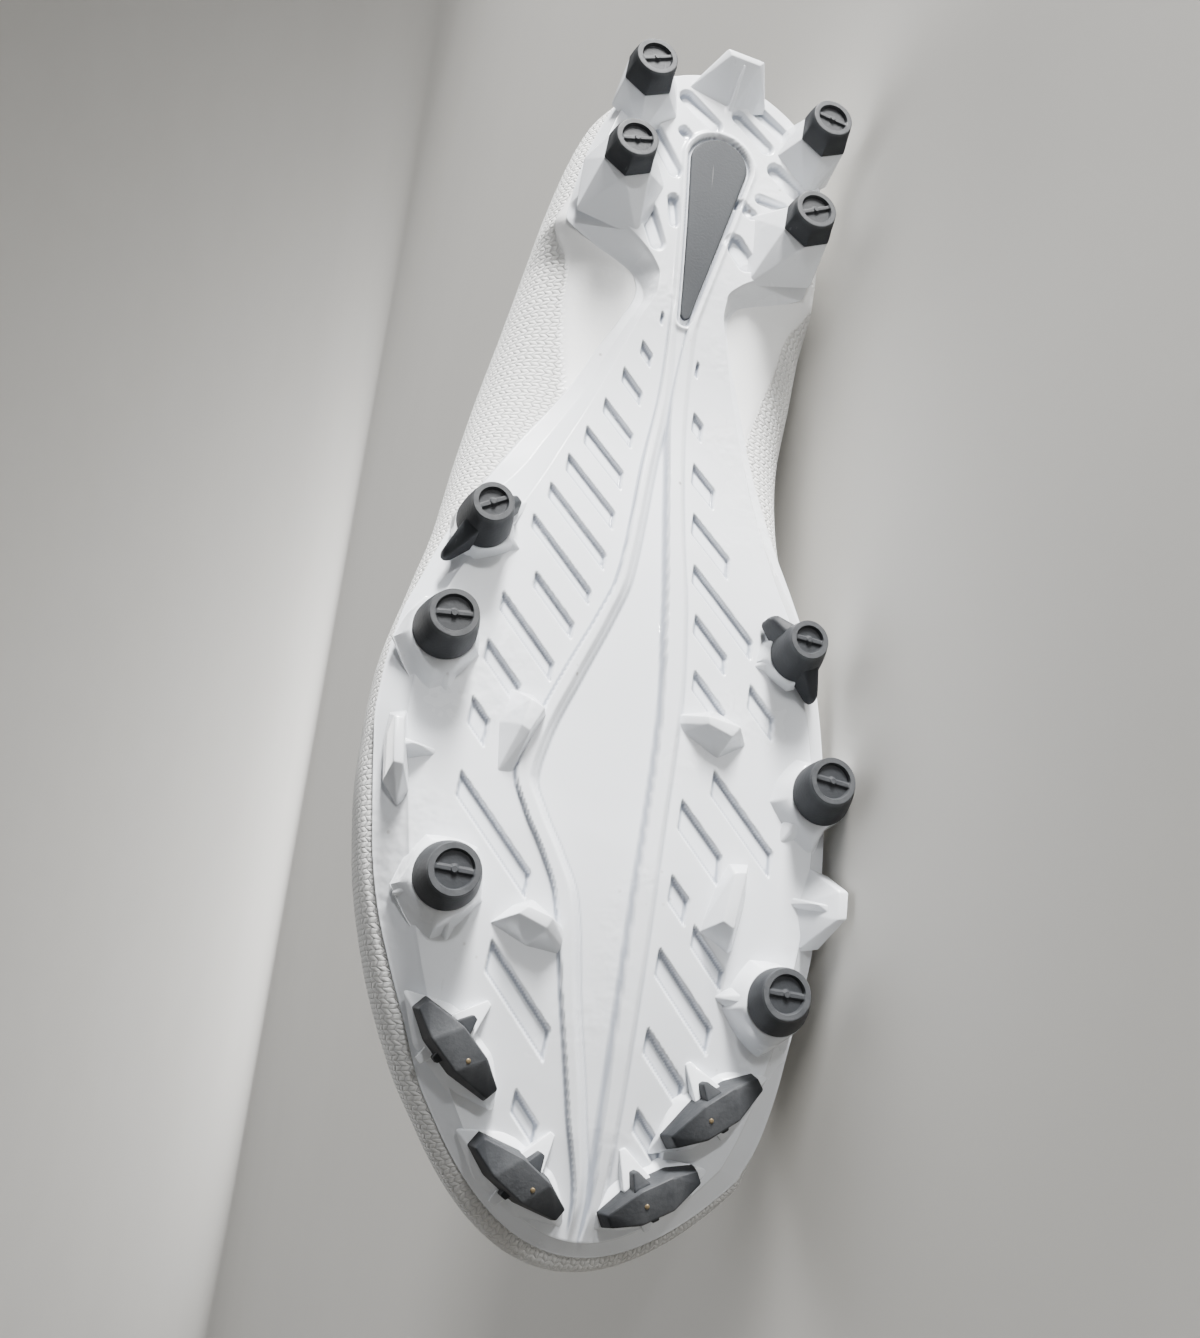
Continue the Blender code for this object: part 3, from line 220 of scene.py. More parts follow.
# Fins of the two waist tips: tip's name, far end at and across, height of the far end in metres
FINS = (
    ("waist_tip_lateral", 54.4, 45.0, 0.0036), ("waist_tip_lateral", 48.4, 31.4, 0.0058),
    ("waist_tip_medial", 57.9, -43.0, 0.0036), ("waist_tip_medial", 52.2, -29.4, 0.0062),
)

# Long blades at the toe: name, at and across of both ends, at and across of the side nub
BLADES = (
    ("toe_blade_back_lateral", 84.7, 28.0, 89.6, 11.0, 84.6, 16.4),
    ("toe_blade_back_medial", 85.7, -43.0, 90.4, -26.6, 85.9, -30.2),
    ("toe_blade_front_lateral", 92.4, 11.2, 96.2, -8.0, 92.0, -2.8),
    ("toe_blade_front_medial", 92.3, -34.4, 96.0, -17.4, 91.9, -19.6),
)
BLADE_HEIGHT = 0.0085
BLADE_WIDTH = 0.0066
BLADE_SEAT = 0.0016
SEAT_POINT = 0.0042
SEAT_MARGIN = 0.0024
BLADE_DRAFT = 0.0006
NUB_REACH = 0.0028
NUB_ROOT = 0.0028
NUB_TIP = 0.0011
PIN_RADIUS = 0.00048

# White lugs and their ribs: name, height in percent of STUD_HEIGHT, foot corners and top corners
LUGS = (
    ("heel_back", 62,
     ((0.9, 8.0), (4.4, 13.0), (5.2, 0.0), (3.6, -10.0), (0.9, -8.0)),
     ((1.0, 5.0), (1.0, -5.0), (1.6, 4.0), (1.6, -4.0))),
    ("heel_back_rib", 56,
     ((1.2, 1.6), (5.9, 0.5), (5.9, -0.5), (1.2, -1.6)),
     ((1.1, 0.7), (1.1, -0.7), (2.0, 0.4), (2.0, -0.4))),
    ("ball_lateral_inner", 42,
     ((62.4, 24.0), (62.4, 19.5), (64.0, 15.2), (68.5, 20.0), (69.1, 20.8), (69.3, 24.0), (65.0, 26.2)),
     ((63.4, 20.3), (63.8, 17.2), (65.7, 19.2), (65.4, 21.2))),
    ("ball_lateral_front", 42,
     ((79.0, 19.3), (77.4, 15.0), (76.6, 10.7), (78.7, 1.0), (79.9, 0.3), (80.2, 2.6), (80.1, 10.4)),
     ((77.4, 12.2), (77.8, 6.8), (78.6, 7.6), (78.0, 13.8))),
    ("ball_medial_inner", 40,
     ((61.2, -11.8), (61.9, -12.2), (62.6, -13.8), (64.1, -23.3), (62.4, -30.2), (61.0, -28.6),
      (60.1, -21.5)),
     ((61.3, -18.6), (61.5, -26.0), (62.4, -24.5), (61.9, -18.8))),
    ("ball_medial_front", 40,
     ((71.1, -29.7), (70.8, -34.4), (73.9, -35.0), (77.6, -33.8), (77.8, -32.5), (76.6, -25.0),
      (73.6, -26.8)),
     ((72.1, -29.3), (71.9, -32.0), (76.0, -31.2), (75.6, -28.6))),
    ("ball_lateral_edge", 46,
     ((66.3, 47.8), (65.8, 44.3), (71.7, 39.6), (72.6, 41.7), (71.1, 45.7), (68.3, 47.5)),
     ((67.0, 46.8), (67.0, 44.8), (70.1, 42.8), (70.1, 44.8))),
    ("ball_lateral_edge_rib", 34,
     ((67.7, 44.0), (68.1, 35.8), (68.6, 35.6), (69.6, 43.0)),
     ((68.2, 44.0), (68.7, 43.6), (68.4, 41.0))),
    ("ball_medial_edge", 46,
     ((70.0, -47.0), (70.4, -53.0), (75.8, -53.2), (76.4, -47.6), (73.4, -45.0)),
     ((71.8, -53.0), (71.7, -55.1), (73.6, -55.5), (73.8, -53.4))),
    ("ball_medial_edge_rib", 34,
     ((72.2, -52.0), (72.6, -43.8), (73.2, -43.6), (74.2, -52.0)),
     ((72.8, -52.0), (73.4, -52.0), (72.9, -49.0))),
)

# Upper, its widest line: at, lateral, medial
WIDEST = (
    (4.1, 27.5, -27.5), (8.6, 35.7, -34.0), (15.5, 39.3, -36.7), (20.7, 40.8, -37.7),
    (27.6, 42.8, -38.3), (34.5, 44.9, -37.7), (41.4, 46.4, -38.3), (48.3, 47.4, -41.0),
    (55.2, 50.0, -46.5), (62.1, 52.3, -51.0), (69.0, 51.0, -53.6), (75.9, 47.0, -54.1),
    (82.8, 39.6, -53.6), (89.7, 28.2, -51.4), (93.1, 20.4, -49.0),
)
WIDEST_TIPS = (-1.0, 100.6)
BOTTOM_LAP = 4.6

# Opening of the upper: at on the widest line, at of the edge above it, half, centre line across,
# height in percent of HEEL_HEIGHT
OPENING = (
    (4.1, 5.6, 17.0, 0.0, 97.0), (10.0, 10.0, 25.0, 0.0, 93.0), (15.5, 15.0, 29.5, 0.5, 86.0),
    (22.0, 21.5, 31.0, 1.0, 80.0), (28.0, 27.5, 29.0, 1.0, 83.0), (34.5, 33.5, 24.0, 0.5, 94.0),
    (39.0, 37.5, 19.0, 0.0, 101.0), (45.0, 41.5, 16.0, -1.0, 102.0), (55.0, 49.0, 13.0, -2.0, 95.0),
    (69.0, 57.0, 10.5, -3.0, 85.5), (82.8, 63.5, 8.7, -3.5, 78.0), (93.1, 67.5, 7.2, -4.0, 74.0),
)
OPENING_TIPS = (2.8, 68.8)

# Section of the upper: at, height of the widest line, squareness of the lower corner, then rise,
# reach and drop of the upper curve's two handles
SECTION = (
    (0.0, 33.0, 3.0, 0.40, 0.10, 0.35), (20.0, 33.0, 2.9, 0.45, 0.15, 0.30),
    (34.5, 30.0, 2.3, 0.50, 0.35, 0.20), (45.0, 28.0, 2.5, 0.50, 0.50, 0.12),
    (60.0, 24.0, 3.6, 0.50, 0.55, 0.06), (75.0, 20.0, 4.0, 0.50, 0.55, 0.06),
    (93.1, 15.0, 3.6, 0.45, 0.60, 0.22), (100.0, 14.0, 3.4, 0.45, 0.60, 0.22),
)

# Smooth film of the rear quarter: at, share of the lower section that it covers
FILM = (
    (4.0, 0.10), (14.0, 0.12), (17.0, 0.22), (21.0, 0.42), (26.0, 0.38), (30.0, 0.29), (33.0, 0.20),
    (36.0, 0.10), (38.0, 0.0),
)
FILM_END = 36.5
FILM_STEP = 0.0006
ARC_ENDS = np.linspace(-1, 1, 62)[1:-1]

# Insole: its edge inside the widest line, and its height over the turned-in edge
INSOLE_LAP = (8.0, 9.0, 11.0, 15.0, 17.5, 17.0, 15.0, 13.0, 11.0, 9.5, 9.5, 9.5, 9.5, 9.5, 9.5)
INSOLE_LIFT = (
    (0.0, 0.0016), (20.0, 0.0018), (30.0, 0.0040), (45.0, 0.0034), (60.0, 0.0016), (100.0, 0.0016),
)
INSOLE_THICKNESS = 0.0035
INSOLE_TIP_LAP = 3.5

# Tongue and laces
TONGUE_THICKNESS = 0.004
TONGUE_FRONT = 71.0
TONGUE_TOP = 33.0
TONGUE_LAP = 0.009
TONGUE_HALF = 0.0205
TONGUE_SAG = 0.0035
TONGUE_RISE = 0.012
LACE_CROSSINGS = 5
LACE_WIDTH = 0.0052
LACE_PINCH = 0.0022
LACE_THICKNESS = 0.0013
LACE_OVER = 0.0011
LACE_DIP = 0.0035
LACE_LIFT = 0.0014
LACE_CROWN = 0.0025
EYELETS_AT = (64.5, 43.0)
EYELET_REACH = 5.0
EYELET_RADIUS = 0.0030

# Camera, in the shoe's frame
CAMERA_PLACE = (0.2517, 0.0543, -0.2248)
CAMERA_FORWARD = (-0.376, -0.401, 0.835)
CAMERA_RIGHT = (-0.100, -0.879, -0.467)
CAMERA_DOWN = (0.921, -0.259, 0.290)
PHOTO_HEIGHT = 1338
PHOTO_FOCUS = 1163.6
SHOE_MIDDLE = (332, 662)
PHOTO_MIDDLE = (600, 639.7)
CAMERA_WIDEN = 0.98


def lay_matrix():
    """Turns the shoe's axes to the row's: it lies on its medial side, rolled and pitched to rest."""
    side_up = np.array(((-1.0, 0.0, 0.0), (0.0, 0.0, 1.0), (0.0, 1.0, 0.0)))
    turn = Matrix.Rotation(REST_PITCH, 3, "Y") @ Matrix.Rotation(REST_ROLL, 3, "X")
    return np.array(turn) @ side_up


LAY = lay_matrix()


def coordinates(name):
    """Vertices of one of the frame's solids, as an array."""
    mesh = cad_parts[name].data
    flat = np.empty(len(mesh.vertices) * 3)
    mesh.vertices.foreach_get("co", flat)
    return flat.reshape(-1, 3)


def shoe_origin():
    """The shoe's own origin in the row's frame, from a round tip's box in the shoe's axes."""
    name, _, _, root_at, root_across = STUDS[6][:5]
    turned = coordinates(name) @ LAY
    low, high = turned.min(axis=0), turned.max(axis=0)
    middle = (low + high) / 2
    wanted = np.array((root_at * AT_UNIT, root_across * ACROSS_UNIT, -STUD_HEIGHT))
    return LAY @ (np.array((middle[0], middle[1], low[2])) - wanted)


ORIGIN = shoe_origin()
IN_PLAN = np.array((1.0, 1.0, 0.0))


def laid(points):
    """Points of the shoe's frame in the row's frame."""
    return np.asarray(points, float).reshape(-1, 3) @ LAY.T + ORIGIN


def full_turn(count):
    """Angles of a ring's points, once round."""
    return np.arange(count) * 2 * math.pi / count


def unit(vectors):
    return vectors / np.maximum(np.linalg.norm(vectors, axis=-1, keepdims=True), 1e-12)


def bell(value, width):
    """Bell curve: 1 where the value is 0, falling off over the width."""
    return np.exp(-((value / width) ** 2))


def soft(value):
    """Smooth step from 0 to 1: the value is clipped, then 3 v^2 - 2 v^3."""
    value = np.clip(value, 0.0, 1.0)
    return value * value * (3.0 - 2.0 * value)


def smooth(table, column, at):
    """Value of a table's column along the shoe: a cubic through its rows with no overshoot."""
    x = np.array([row[0] for row in table], float)
    y = np.array([row[column] for row in table], float)
    step = np.diff(x)
    slope = np.diff(y) / step
    total = slope[:-1] + slope[1:]
    inner = np.where(
        slope[:-1] * slope[1:] > 0, 2 * slope[:-1] * slope[1:] / np.where(total == 0, 1, total), 0.0
    )
    tangent = np.concatenate([slope[:1], inner, slope[-1:]])
    at = np.clip(at, x[0], x[-1])
    i = np.clip(np.searchsorted(x, at, side="right") - 1, 0, len(step) - 1)
    t = (at - x[i]) / step[i]
    return (
        y[i] * (1 + 2 * t) * (1 - t) ** 2 + tangent[i] * step[i] * t * (1 - t) ** 2
        + y[i + 1] * t * t * (3 - 2 * t) + tangent[i + 1] * step[i] * t * t * (t - 1)
    )


def base(at):
    """Height of the plate's underside: a bell under the arch and a power curve at the toe."""
    arch = ARCH_RISE * np.exp(-(((at - 34.5) / 13.1) ** 2))
    return arch + TOE_SPRING * np.clip((at - 70.7) / 29.3, 0, None) ** 1.8


def place(at, across, up):
    """Points of the shoe from percents and a height above the plate's underside."""
    at, across, up = np.broadcast_arrays(
        np.asarray(at, float), np.asarray(across, float), np.asarray(up, float)
    )
    return np.stack([at * AT_UNIT, across * ACROSS_UNIT, base(at) + up], axis=-1)


def on_height(plan, height):
    """Plan points in metres, set at a height above the plate's underside."""
    plan = np.asarray(plan, float)
    up = base(plan[..., 0] / AT_UNIT) + height
    return np.stack([plan[..., 0], plan[..., 1], up], axis=-1)


def patch(edge, tips, rows, share):
    """Plan grid in percent: rows run along the outline, shares across, and end rows bow to the tips."""
    first, last = edge[0][0], edge[-1][0]
    at = first + rows * (last - first)
    lateral, medial = smooth(edge, 1, at), smooth(edge, 2, at)
    middle, half = (lateral + medial) / 2, (lateral - medial) / 2
    toe = (tips[1] - last) * np.clip((at - TOE_BOW_FROM) / (last - TOE_BOW_FROM), 0, 1) ** 2
    heel = (tips[0] - first) * np.clip((HEEL_BOW_TO - at) / (HEEL_BOW_TO - first), 0, 1) ** 2
    plan_at = at[:, None] + (toe + heel)[:, None] * (1 - share**2)[None, :]
    return plan_at, middle[:, None] + half[:, None] * share[None, :]


def grid_quads(rows, columns, closed_rows=False, closed_columns=False):
    """Corner numbers of a grid's quads, row by row; closed joins the last row or column to the first."""
    i = np.arange(rows if closed_rows else rows - 1)[:, None]
    j = np.arange(columns if closed_columns else columns - 1)[None, :]
    a = i * columns + j
    b = i * columns + (j + 1) % columns
    c = (i + 1) % rows * columns + (j + 1) % columns
    d = (i + 1) % rows * columns + j
    return np.stack([a, b, c, d], axis=-1).reshape(-1, 4)


def boundary(rows, columns):
    """Vertex numbers round a grid: lateral side, last row, medial side back, first row back."""
    return np.concatenate([
        np.arange(rows) * columns,
        (rows - 1) * columns + np.arange(1, columns),
        np.arange(rows - 2, -1, -1) * columns + columns - 1,
        np.arange(columns - 2, 0, -1),
    ])


def slab(outer, inner):
    """Closed points and quads between two grids of the same size."""
    r, c = outer.shape[:2]
    ring = boundary(r, c)
    following = np.roll(ring, -1)
    count = r * c
    sides = np.stack([ring, following, following + count, ring + count], axis=-1)
    quads = np.concatenate([grid_quads(r, c)[:, ::-1], grid_quads(r, c) + count, sides])
    return np.concatenate([outer.reshape(-1, 3), inner.reshape(-1, 3)]), quads


def make_mesh(name, points, quads, polygons=(), sharp=None):
    """Closed smooth mesh from shoe points, pressed flat where it lies on the floor.

    polygons are faces with more than four corners, sharp is the least angle in degrees of a sharp edge.
    """
    mesh = bpy.data.meshes.new(name)
    points = laid(points)
    points[:, 2] = np.maximum(points[:, 2], 0.0)
    corners = np.concatenate([np.asarray(quads).ravel()] + [np.asarray(p) for p in polygons])
    totals = np.array([4] * len(quads) + [len(p) for p in polygons])
    mesh.vertices.add(len(points))
    mesh.vertices.foreach_set("co", points.ravel().astype(np.float32))
    mesh.loops.add(len(corners))
    mesh.loops.foreach_set("vertex_index", corners.astype(np.int32))
    mesh.polygons.add(len(totals))
    starts = np.concatenate([[0], np.cumsum(totals)[:-1]])
    mesh.polygons.foreach_set("loop_start", starts.astype(np.int32))
    mesh.update(calc_edges=True)
    mesh.shade_smooth()
    face_outward(mesh)
    if sharp:
        mesh.set_sharp_from_angle(angle=math.radians(sharp))
    return mesh


def join_meshes(name, shapes, sharp=None):
    return make_mesh(name, *join_parts(shapes), sharp)


def join_parts(parts):
    """Points, quads and polygons of several closed shapes as one."""
    points, quads, polygons, offset = [], [], [], 0
    for one_points, one_quads, one_polygons in parts:
        one_points = np.asarray(one_points).reshape(-1, 3)
        points.append(one_points)
        quads.append(np.asarray(one_quads).reshape(-1, 4) + offset)
        polygons += [np.asarray(p) + offset for p in one_polygons]
        offset += len(one_points)
    return np.concatenate(points), np.concatenate(quads), polygons


def add_values(mesh, name, values):
    """A number for each vertex, for the materials to read."""
    attribute = mesh.attributes.new(name, "FLOAT", "POINT")
    attribute.data.foreach_set("value", np.asarray(values, np.float32).ravel())


def add_piece(name, mesh, slot, nodes=(), finish=None):
    """Object of the shoe with its slot's finish: it rides on the one body and stands for its solids."""
    piece = bpy.data.objects.new(name, mesh)
    bpy.context.scene.collection.objects.link(piece)
    mesh.materials.append(finish_of(finish or slot))
    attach(piece, BODY)
    if nodes:
        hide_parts(*nodes)
    return piece


def face_outward(mesh):
    """Turns a closed mesh's faces outward."""
    work = bmesh.new()
    work.from_mesh(mesh)
    bmesh.ops.recalc_face_normals(work, faces=work.faces)
    if work.calc_volume(signed=True) < 0:
        bmesh.ops.reverse_faces(work, faces=work.faces)
    work.to_mesh(mesh)
    work.free()


# Plate

WALL_STEPS = (
    (0.0, 0.0), (0.012, 0.006), (0.03, 0.028), (0.06, 0.08), (0.12, 0.155), (0.50, 0.54), (0.86, 0.885),
    (0.93, 0.94), (0.965, 0.958), (0.985, 0.97), (1.0, 0.99), (0.998, 1.01), (0.97, 1.02),
)
FLANGE_STEPS = (
    (0.0, 0.0), (0.015, 0.01), (0.04, 0.045), (0.07, 0.10), (0.13, 0.20), (0.36, 0.58), (0.46, 0.735),
    (0.50, 0.765), (0.93, 0.80), (0.965, 0.82), (1.0, 0.90), (0.998, 1.0), (0.97, 1.02),
)


def plan_point(at, across):
    return np.array((at * AT_UNIT, across * ACROSS_UNIT))


def slot_depth(x, y):
    """Depth of the slanted slots and the heel's rounded slots at plan points, as shares of their depth."""
    depth = np.zeros_like(x)
    for at, across, run, leg in SLOTS:
        start = plan_point(at, across)
        edge = np.array((abs(run) * SLOT_SLOPE, run)) * ACROSS_UNIT
        length = np.hypot(*edge)
        lean, slant = edge[0] / length, abs(edge[1] / length)
        along = (y - start[1]) / (edge[1] / length)
        from_edge = (x - start[0] - along * lean) * slant
        width = leg * AT_UNIT * slant
        ends = np.minimum(along, length - along) * slant
        floor = np.clip(1.0 - SLOT_FADE * from_edge / width, 0, 1)
        far = soft((width - from_edge) / SLOT_END + 0.1)
        one = soft(from_edge / SLOT_WALL) * soft(ends / SLOT_END + 0.1) * far * floor
        depth = np.maximum(depth, one)
    for at_a, across_a, at_b, across_b, width in HEEL_SLOTS:
        a, b = plan_point(at_a, across_a), plan_point(at_b, across_b)
        along = b - a
        share = np.clip(((x - a[0]) * along[0] + (y - a[1]) * along[1]) / along.dot(along), 0, 1)
        reach = np.hypot(x - a[0] - share * along[0], y - a[1] - share * along[1])
        low_end = 1.25 - 0.55 * share
        wall = soft((width / 2 * ACROSS_UNIT - reach) / HEEL_SLOT_WALL + 0.4)
        depth = np.maximum(depth, low_end * wall)
    return depth


def inset_width(x):
    """Half width of the inset's drop shape: a half circle, then a straight taper to its blunt end."""
    bow = np.clip((x - INSET_START) / INSET_HALF_WIDTH, 0, 1)
    first = INSET_START + INSET_HALF_WIDTH
    straight = np.clip((x - first) / (INSET_END - first), 0, 1)
    return INSET_HALF_WIDTH * np.sqrt(bow * (2 - bow)) * (1 - INSET_TAPER * straight)


def inset_reach(x, y):
    """Distance inside the drop's outline: a tapered capsule's radius less the distance to its spine."""
    first = INSET_START + INSET_HALF_WIDTH
    share = np.clip((x - first) / (INSET_END - first), 0, 1)
    nearest = first + share * (INSET_END - first)
    return INSET_HALF_WIDTH * (1 - INSET_TAPER * share) - np.hypot(x - nearest, y - inset_middle(x))


def inset_middle(x):
    return 0.015 * (x - INSET_START)


def rail_lines(x):
    """Edges of the two rails in metres: lateral outer and inner, medial inner and outer."""
    at = x / AT_UNIT
    return [smooth(RAILS, c, at) * ACROSS_UNIT for c in (1, 2, 3, 4)]


def flat_relief(x, y):
    """Height of the flat's relief over the plate's underside, up into the plate: rails, field, slots."""
    settings = bpy.context.scene.cleat
    outer, inner, medial_inner, medial_outer = rail_lines(x)
    flank, crisp, wide = settings.rail_flank, settings.rail_flank * 0.5, settings.rail_flank * 1.6
    lateral = soft((outer - y) / crisp + 0.5) * soft((y - inner) / wide + 0.1)
    medial = soft((medial_inner - y) / crisp + 0.5) * soft((y - medial_outer) / wide + 0.5)
    at = x / AT_UNIT
    rails = np.maximum(lateral, medial) * soft((at - RAILS_FROM) / 4) * soft((98.5 - at) / 3)
    rails = rails * (0.55 + 0.45 * soft((at - 33.0) / 10))
    field = soft((inner - y) / flank) * soft((y - medial_inner) / flank) * soft((at - 33.0) / 6)
    relief = field * settings.field_depth - rails * settings.rail_height
    relief = relief + slot_depth(x, y) * settings.slot_depth
    pocket = inset_reach(x, y) + INSET_BORDER
    relief = relief + INSET_POCKET * soft(pocket / 0.0005)
    lip = bell(pocket + 0.0007, 0.0006)
    relief = relief * (1 - 0.8 * lip) - 0.0005 * lip
    heel_crease = soft((0.018 - x) / 0.006) * soft(1 - np.abs(y) / 0.0016) * soft((x - 0.006) / 0.004)
    return relief - 0.0006 * heel_crease


def flat_point(x, y):
    at = x / AT_UNIT
    return np.stack([x, y, base(at) + flat_relief(x, y)], axis=-1)


def flat_slope(x, y):
    """Unit normals of the underside, pointing down, from the relief's own slope."""
    step = 0.00012
    beside = ((step, 0), (-step, 0), (0, step), (0, -step))
    height = [flat_point(x + dx, y + dy)[..., 2] for dx, dy in beside]
    slope_x = (height[0] - height[1]) / (2 * step)
    slope_y = (height[2] - height[3]) / (2 * step)
    normal = np.stack([slope_x, slope_y, -np.ones_like(x)], axis=-1)
    return normal / np.linalg.norm(normal, axis=-1, keepdims=True)


def painted_hollow_shade(x, y):
    """Painted shade mask: how far the relief lies under its surroundings, 1 at a steep wall's foot,
    negative at its rim, with thin painted shade lines along the field's two edges.
    """
    reach, steep = 0.0007, 0.00035
    around = [flat_relief(x + reach * math.cos(a), y + reach * math.sin(a)) for a in full_turn(6)]
    hollow = np.clip((flat_relief(x, y) - np.mean(around, axis=0)) / steep, -1, 1)
    _, inner, medial_inner, _ = rail_lines(x)
    # Thin painted shade lines along the field's edges, at the foot of the rails' inner flanks
    lines = bell(y - inner + 0.0002, 0.0007) + bell(y - medial_inner - 0.0002, 0.0007)
    at = x / AT_UNIT
    return np.maximum(hollow, FIELD_LINE_PAINTED_SHADE * lines * soft((at - 33.5) / 2) * soft((96 - at) / 2))


def plate_rows(first, last, step):
    """Row places as shares of the outline's sides, closer together where it turns or bows."""
    fine = np.linspace(first, last, 4000)
    at = FLAT_EDGE[0][0] + fine * (FLAT_EDGE[-1][0] - FLAT_EDGE[0][0])
    density = 1 + 0.9 * soft((at - 84) / 6) + 0.9 * soft((9 - at) / 4)
    density = density + 0.8 * np.exp(-(((at - 20.5) / 2.2) ** 2))
    reach = np.concatenate([[0], np.cumsum((density[1:] + density[:-1]) / 2)])
    length = reach[-1] / 3999 * (last - first) * 0.872 * LENGTH
    count = max(int(length / step), 4)
    return np.interp(np.linspace(0, reach[-1], count + 1), reach, fine)


def plate_piece(name, first, last, cap_last):
    """Closed piece of the plate between two places: relief grid below, ringed wall, plain top, cut face."""
    settings = bpy.context.scene.cleat
    rows = plate_rows(first, last, settings.plate_step)
    share = np.linspace(1, -1, settings.plate_columns)
    flat_at, flat_across = patch(FLAT_EDGE, FLAT_TIPS, rows, share)
    edge_at, edge_across = patch(PLATE_EDGE, PLATE_TIPS, rows, share)
    x, y = flat_at * AT_UNIT, flat_across * ACROSS_UNIT
    r, c = x.shape
    count = r * c
    index = np.arange(count).reshape(r, c)
    if cap_last:
        index = index[::-1]
    path = np.concatenate([index[:, 0], index[-1, 1:], index[-2::-1, -1]])
    low = flat_point(x, y).reshape(-1, 3)
    flat_edge = low[path, :2]
    top_edge = np.stack([edge_at.ravel()[path] * AT_UNIT, edge_across.ravel()[path] * ACROSS_UNIT], axis=-1)
    at = flat_edge[:, 0] / AT_UNIT
    flange = soft((at - 22.5) / 3) * soft((52 - at) / 10)
    rim_relief = low[path, 2] - base(at)
    rings = []
    for wall_step, flange_step in zip(np.array(WALL_STEPS), np.array(FLANGE_STEPS)):
        out, up = wall_step[:, None] + (flange_step - wall_step)[:, None] * flange
        plan = flat_edge + (top_edge - flat_edge) * out[:, None]
        rings.append(on_height(plan, up * PLATE_THICKNESS + rim_relief * (1 - out) ** 3))
    rings = np.array(rings)
    k, n = rings.shape[:2]
    wall_normals = unit(np.cross(np.gradient(rings, axis=1), np.gradient(rings, axis=0)))
    centre = np.array((rings[..., 0].mean(), 0.0, 0.02))
    wall_normals *= np.sign(np.median(np.sum(wall_normals * (rings - centre), axis=-1)))
    wall_index = np.concatenate([path[None, :], count + np.arange((k - 1) * n).reshape(k - 1, n)])
    top = wall_index[-1]
    lateral, medial = top[:r], top[-r:][::-1]
    quads = np.concatenate([
        grid_quads(r, c)[:, ::-1], wall_index.ravel()[grid_quads(k, n)],
        np.stack([lateral[:-1], lateral[1:], medial[1:], medial[:-1]], axis=-1),
    ])
    end_row = top[r - 1:n - r + 1]
    cut = np.concatenate([index[0], wall_index[1:, -1], wall_index[1:, 0][::-1]])
    points = np.concatenate([low, rings[1:].reshape(-1, 3)])
    normals = np.concatenate([flat_slope(x, y).reshape(-1, 3), wall_normals[1:].reshape(-1, 3)])
    normals[path] = (normals[path] + wall_normals[0]) / 2
    normals[top] = (0.0, 0.0, 1.0)
    mesh = make_mesh(name, points, quads, [end_row, cut])
    mesh.normals_split_custom_set_from_vertices(unit(normals @ LAY.T))
    # Painted shade for the material: dark in the relief's hollows and along the field's edges, bluish grey
    # in the slots by their depth
    for label, shade in (("painted_groove_shade", painted_hollow_shade(x, y)), ("sunk", slot_depth(x, y))):
        add_values(mesh, label, np.concatenate([shade.ravel(), np.zeros(len(points) - count)]))
    return mesh


# Feet, lugs and seats

def loft(rings):
    """Closed tube through rings of points [ring, point, xyz], with its two ends as polygons."""
    rings = np.asarray(rings)
    k, n = rings.shape[:2]
    ends = [np.arange(n)[::-1], (k - 1) * n + np.arange(n)]
    return rings.reshape(-1, 3), grid_quads(k, n, closed_columns=True), ends


def flats(turn, sides):
    """Reach of a polygon's side in each direction, as a share of its corners' reach."""
    within = np.mod(turn, 2 * math.pi / sides) - math.pi / sides
    return math.cos(math.pi / sides) / np.cos(within)


def ring_of(radius, turn, sides=0, bulge=0.0):
    """Plan offsets of a ring; with sides it bulges into that many flats."""
    reach = np.broadcast_to(np.asarray(radius, float), turn.shape)
    if sides:
        reach = reach * ((1 - bulge) + bulge * flats(turn, sides)) * 1.03
    return np.stack([reach * np.cos(turn), reach * np.sin(turn)], axis=-1)


def stud_axis(stud):
    """Centre of a stud's flat end and of its grey tip's root."""
    _, at, across, root_at, root_across, kind = stud[:6]
    end = place(at, across, 0.0)
    end[2] = -STUD_HEIGHT
    root = place(root_at, root_across, 0.0)
    root[2] = -STUD_HEIGHT + TIP_SIZES[kind][2]
    return end, root


def foot_shape(stud):
    """White foot of a round stud: a flare from the tip's root down to a pointed, faceted spread."""
    root_radius = TIP_SIZES[stud[5]][1]
    _, root = stud_axis(stud)
    turn = full_turn(120)
    toe, heel, lateral, medial = np.array(STUD_FEET[stud[0]]) * ACROSS_UNIT
    along, across = np.where(np.cos(turn) > 0, toe, heel), np.where(np.sin(turn) > 0, lateral, medial)
    reach = 1 / np.sqrt((np.cos(turn) / along) ** 2 + (np.sin(turn) / across) ** 2)
    spread = np.maximum(reach * (0.30 + 0.80 * flats(turn, FOOT_FACETS)), root_radius * 1.08)
    rings = []
    for share, up in FOOT_FLARE:
        plan = root[:2] + ring_of(spread + (root_radius - spread) * share, turn)
        low = base(plan[:, 0] / AT_UNIT) + FOOT_EDGE * (1 - share)
        rings.append(np.column_stack([plan, low + (root[2] - low) * up]))
    cover = np.array(rings[-1])
    cover[:, :2] = root[:2] + (cover[:, :2] - root[:2]) * 0.3
    buried = np.array(rings[0])
    buried[:, 2] += BURIED
    return loft(np.concatenate([[buried], rings, [cover]]))


def heel_foot_shape(stud, corners):
    """Faceted foot of a heel stud: hull from the hexagon of the tip's root down to corners on the plate."""
    _, root_radius, _, sides = TIP_SIZES[stud[5]]
    _, root = stud_axis(stud)
    ring = root[:2] + ring_of(root_radius * 1.02, full_turn(sides))
    low = place(*np.array(corners).T, BURIED)
    return hull_shape(low, np.column_stack([ring, np.full(sides, root[2] + 0.0001)]), 0.00035)


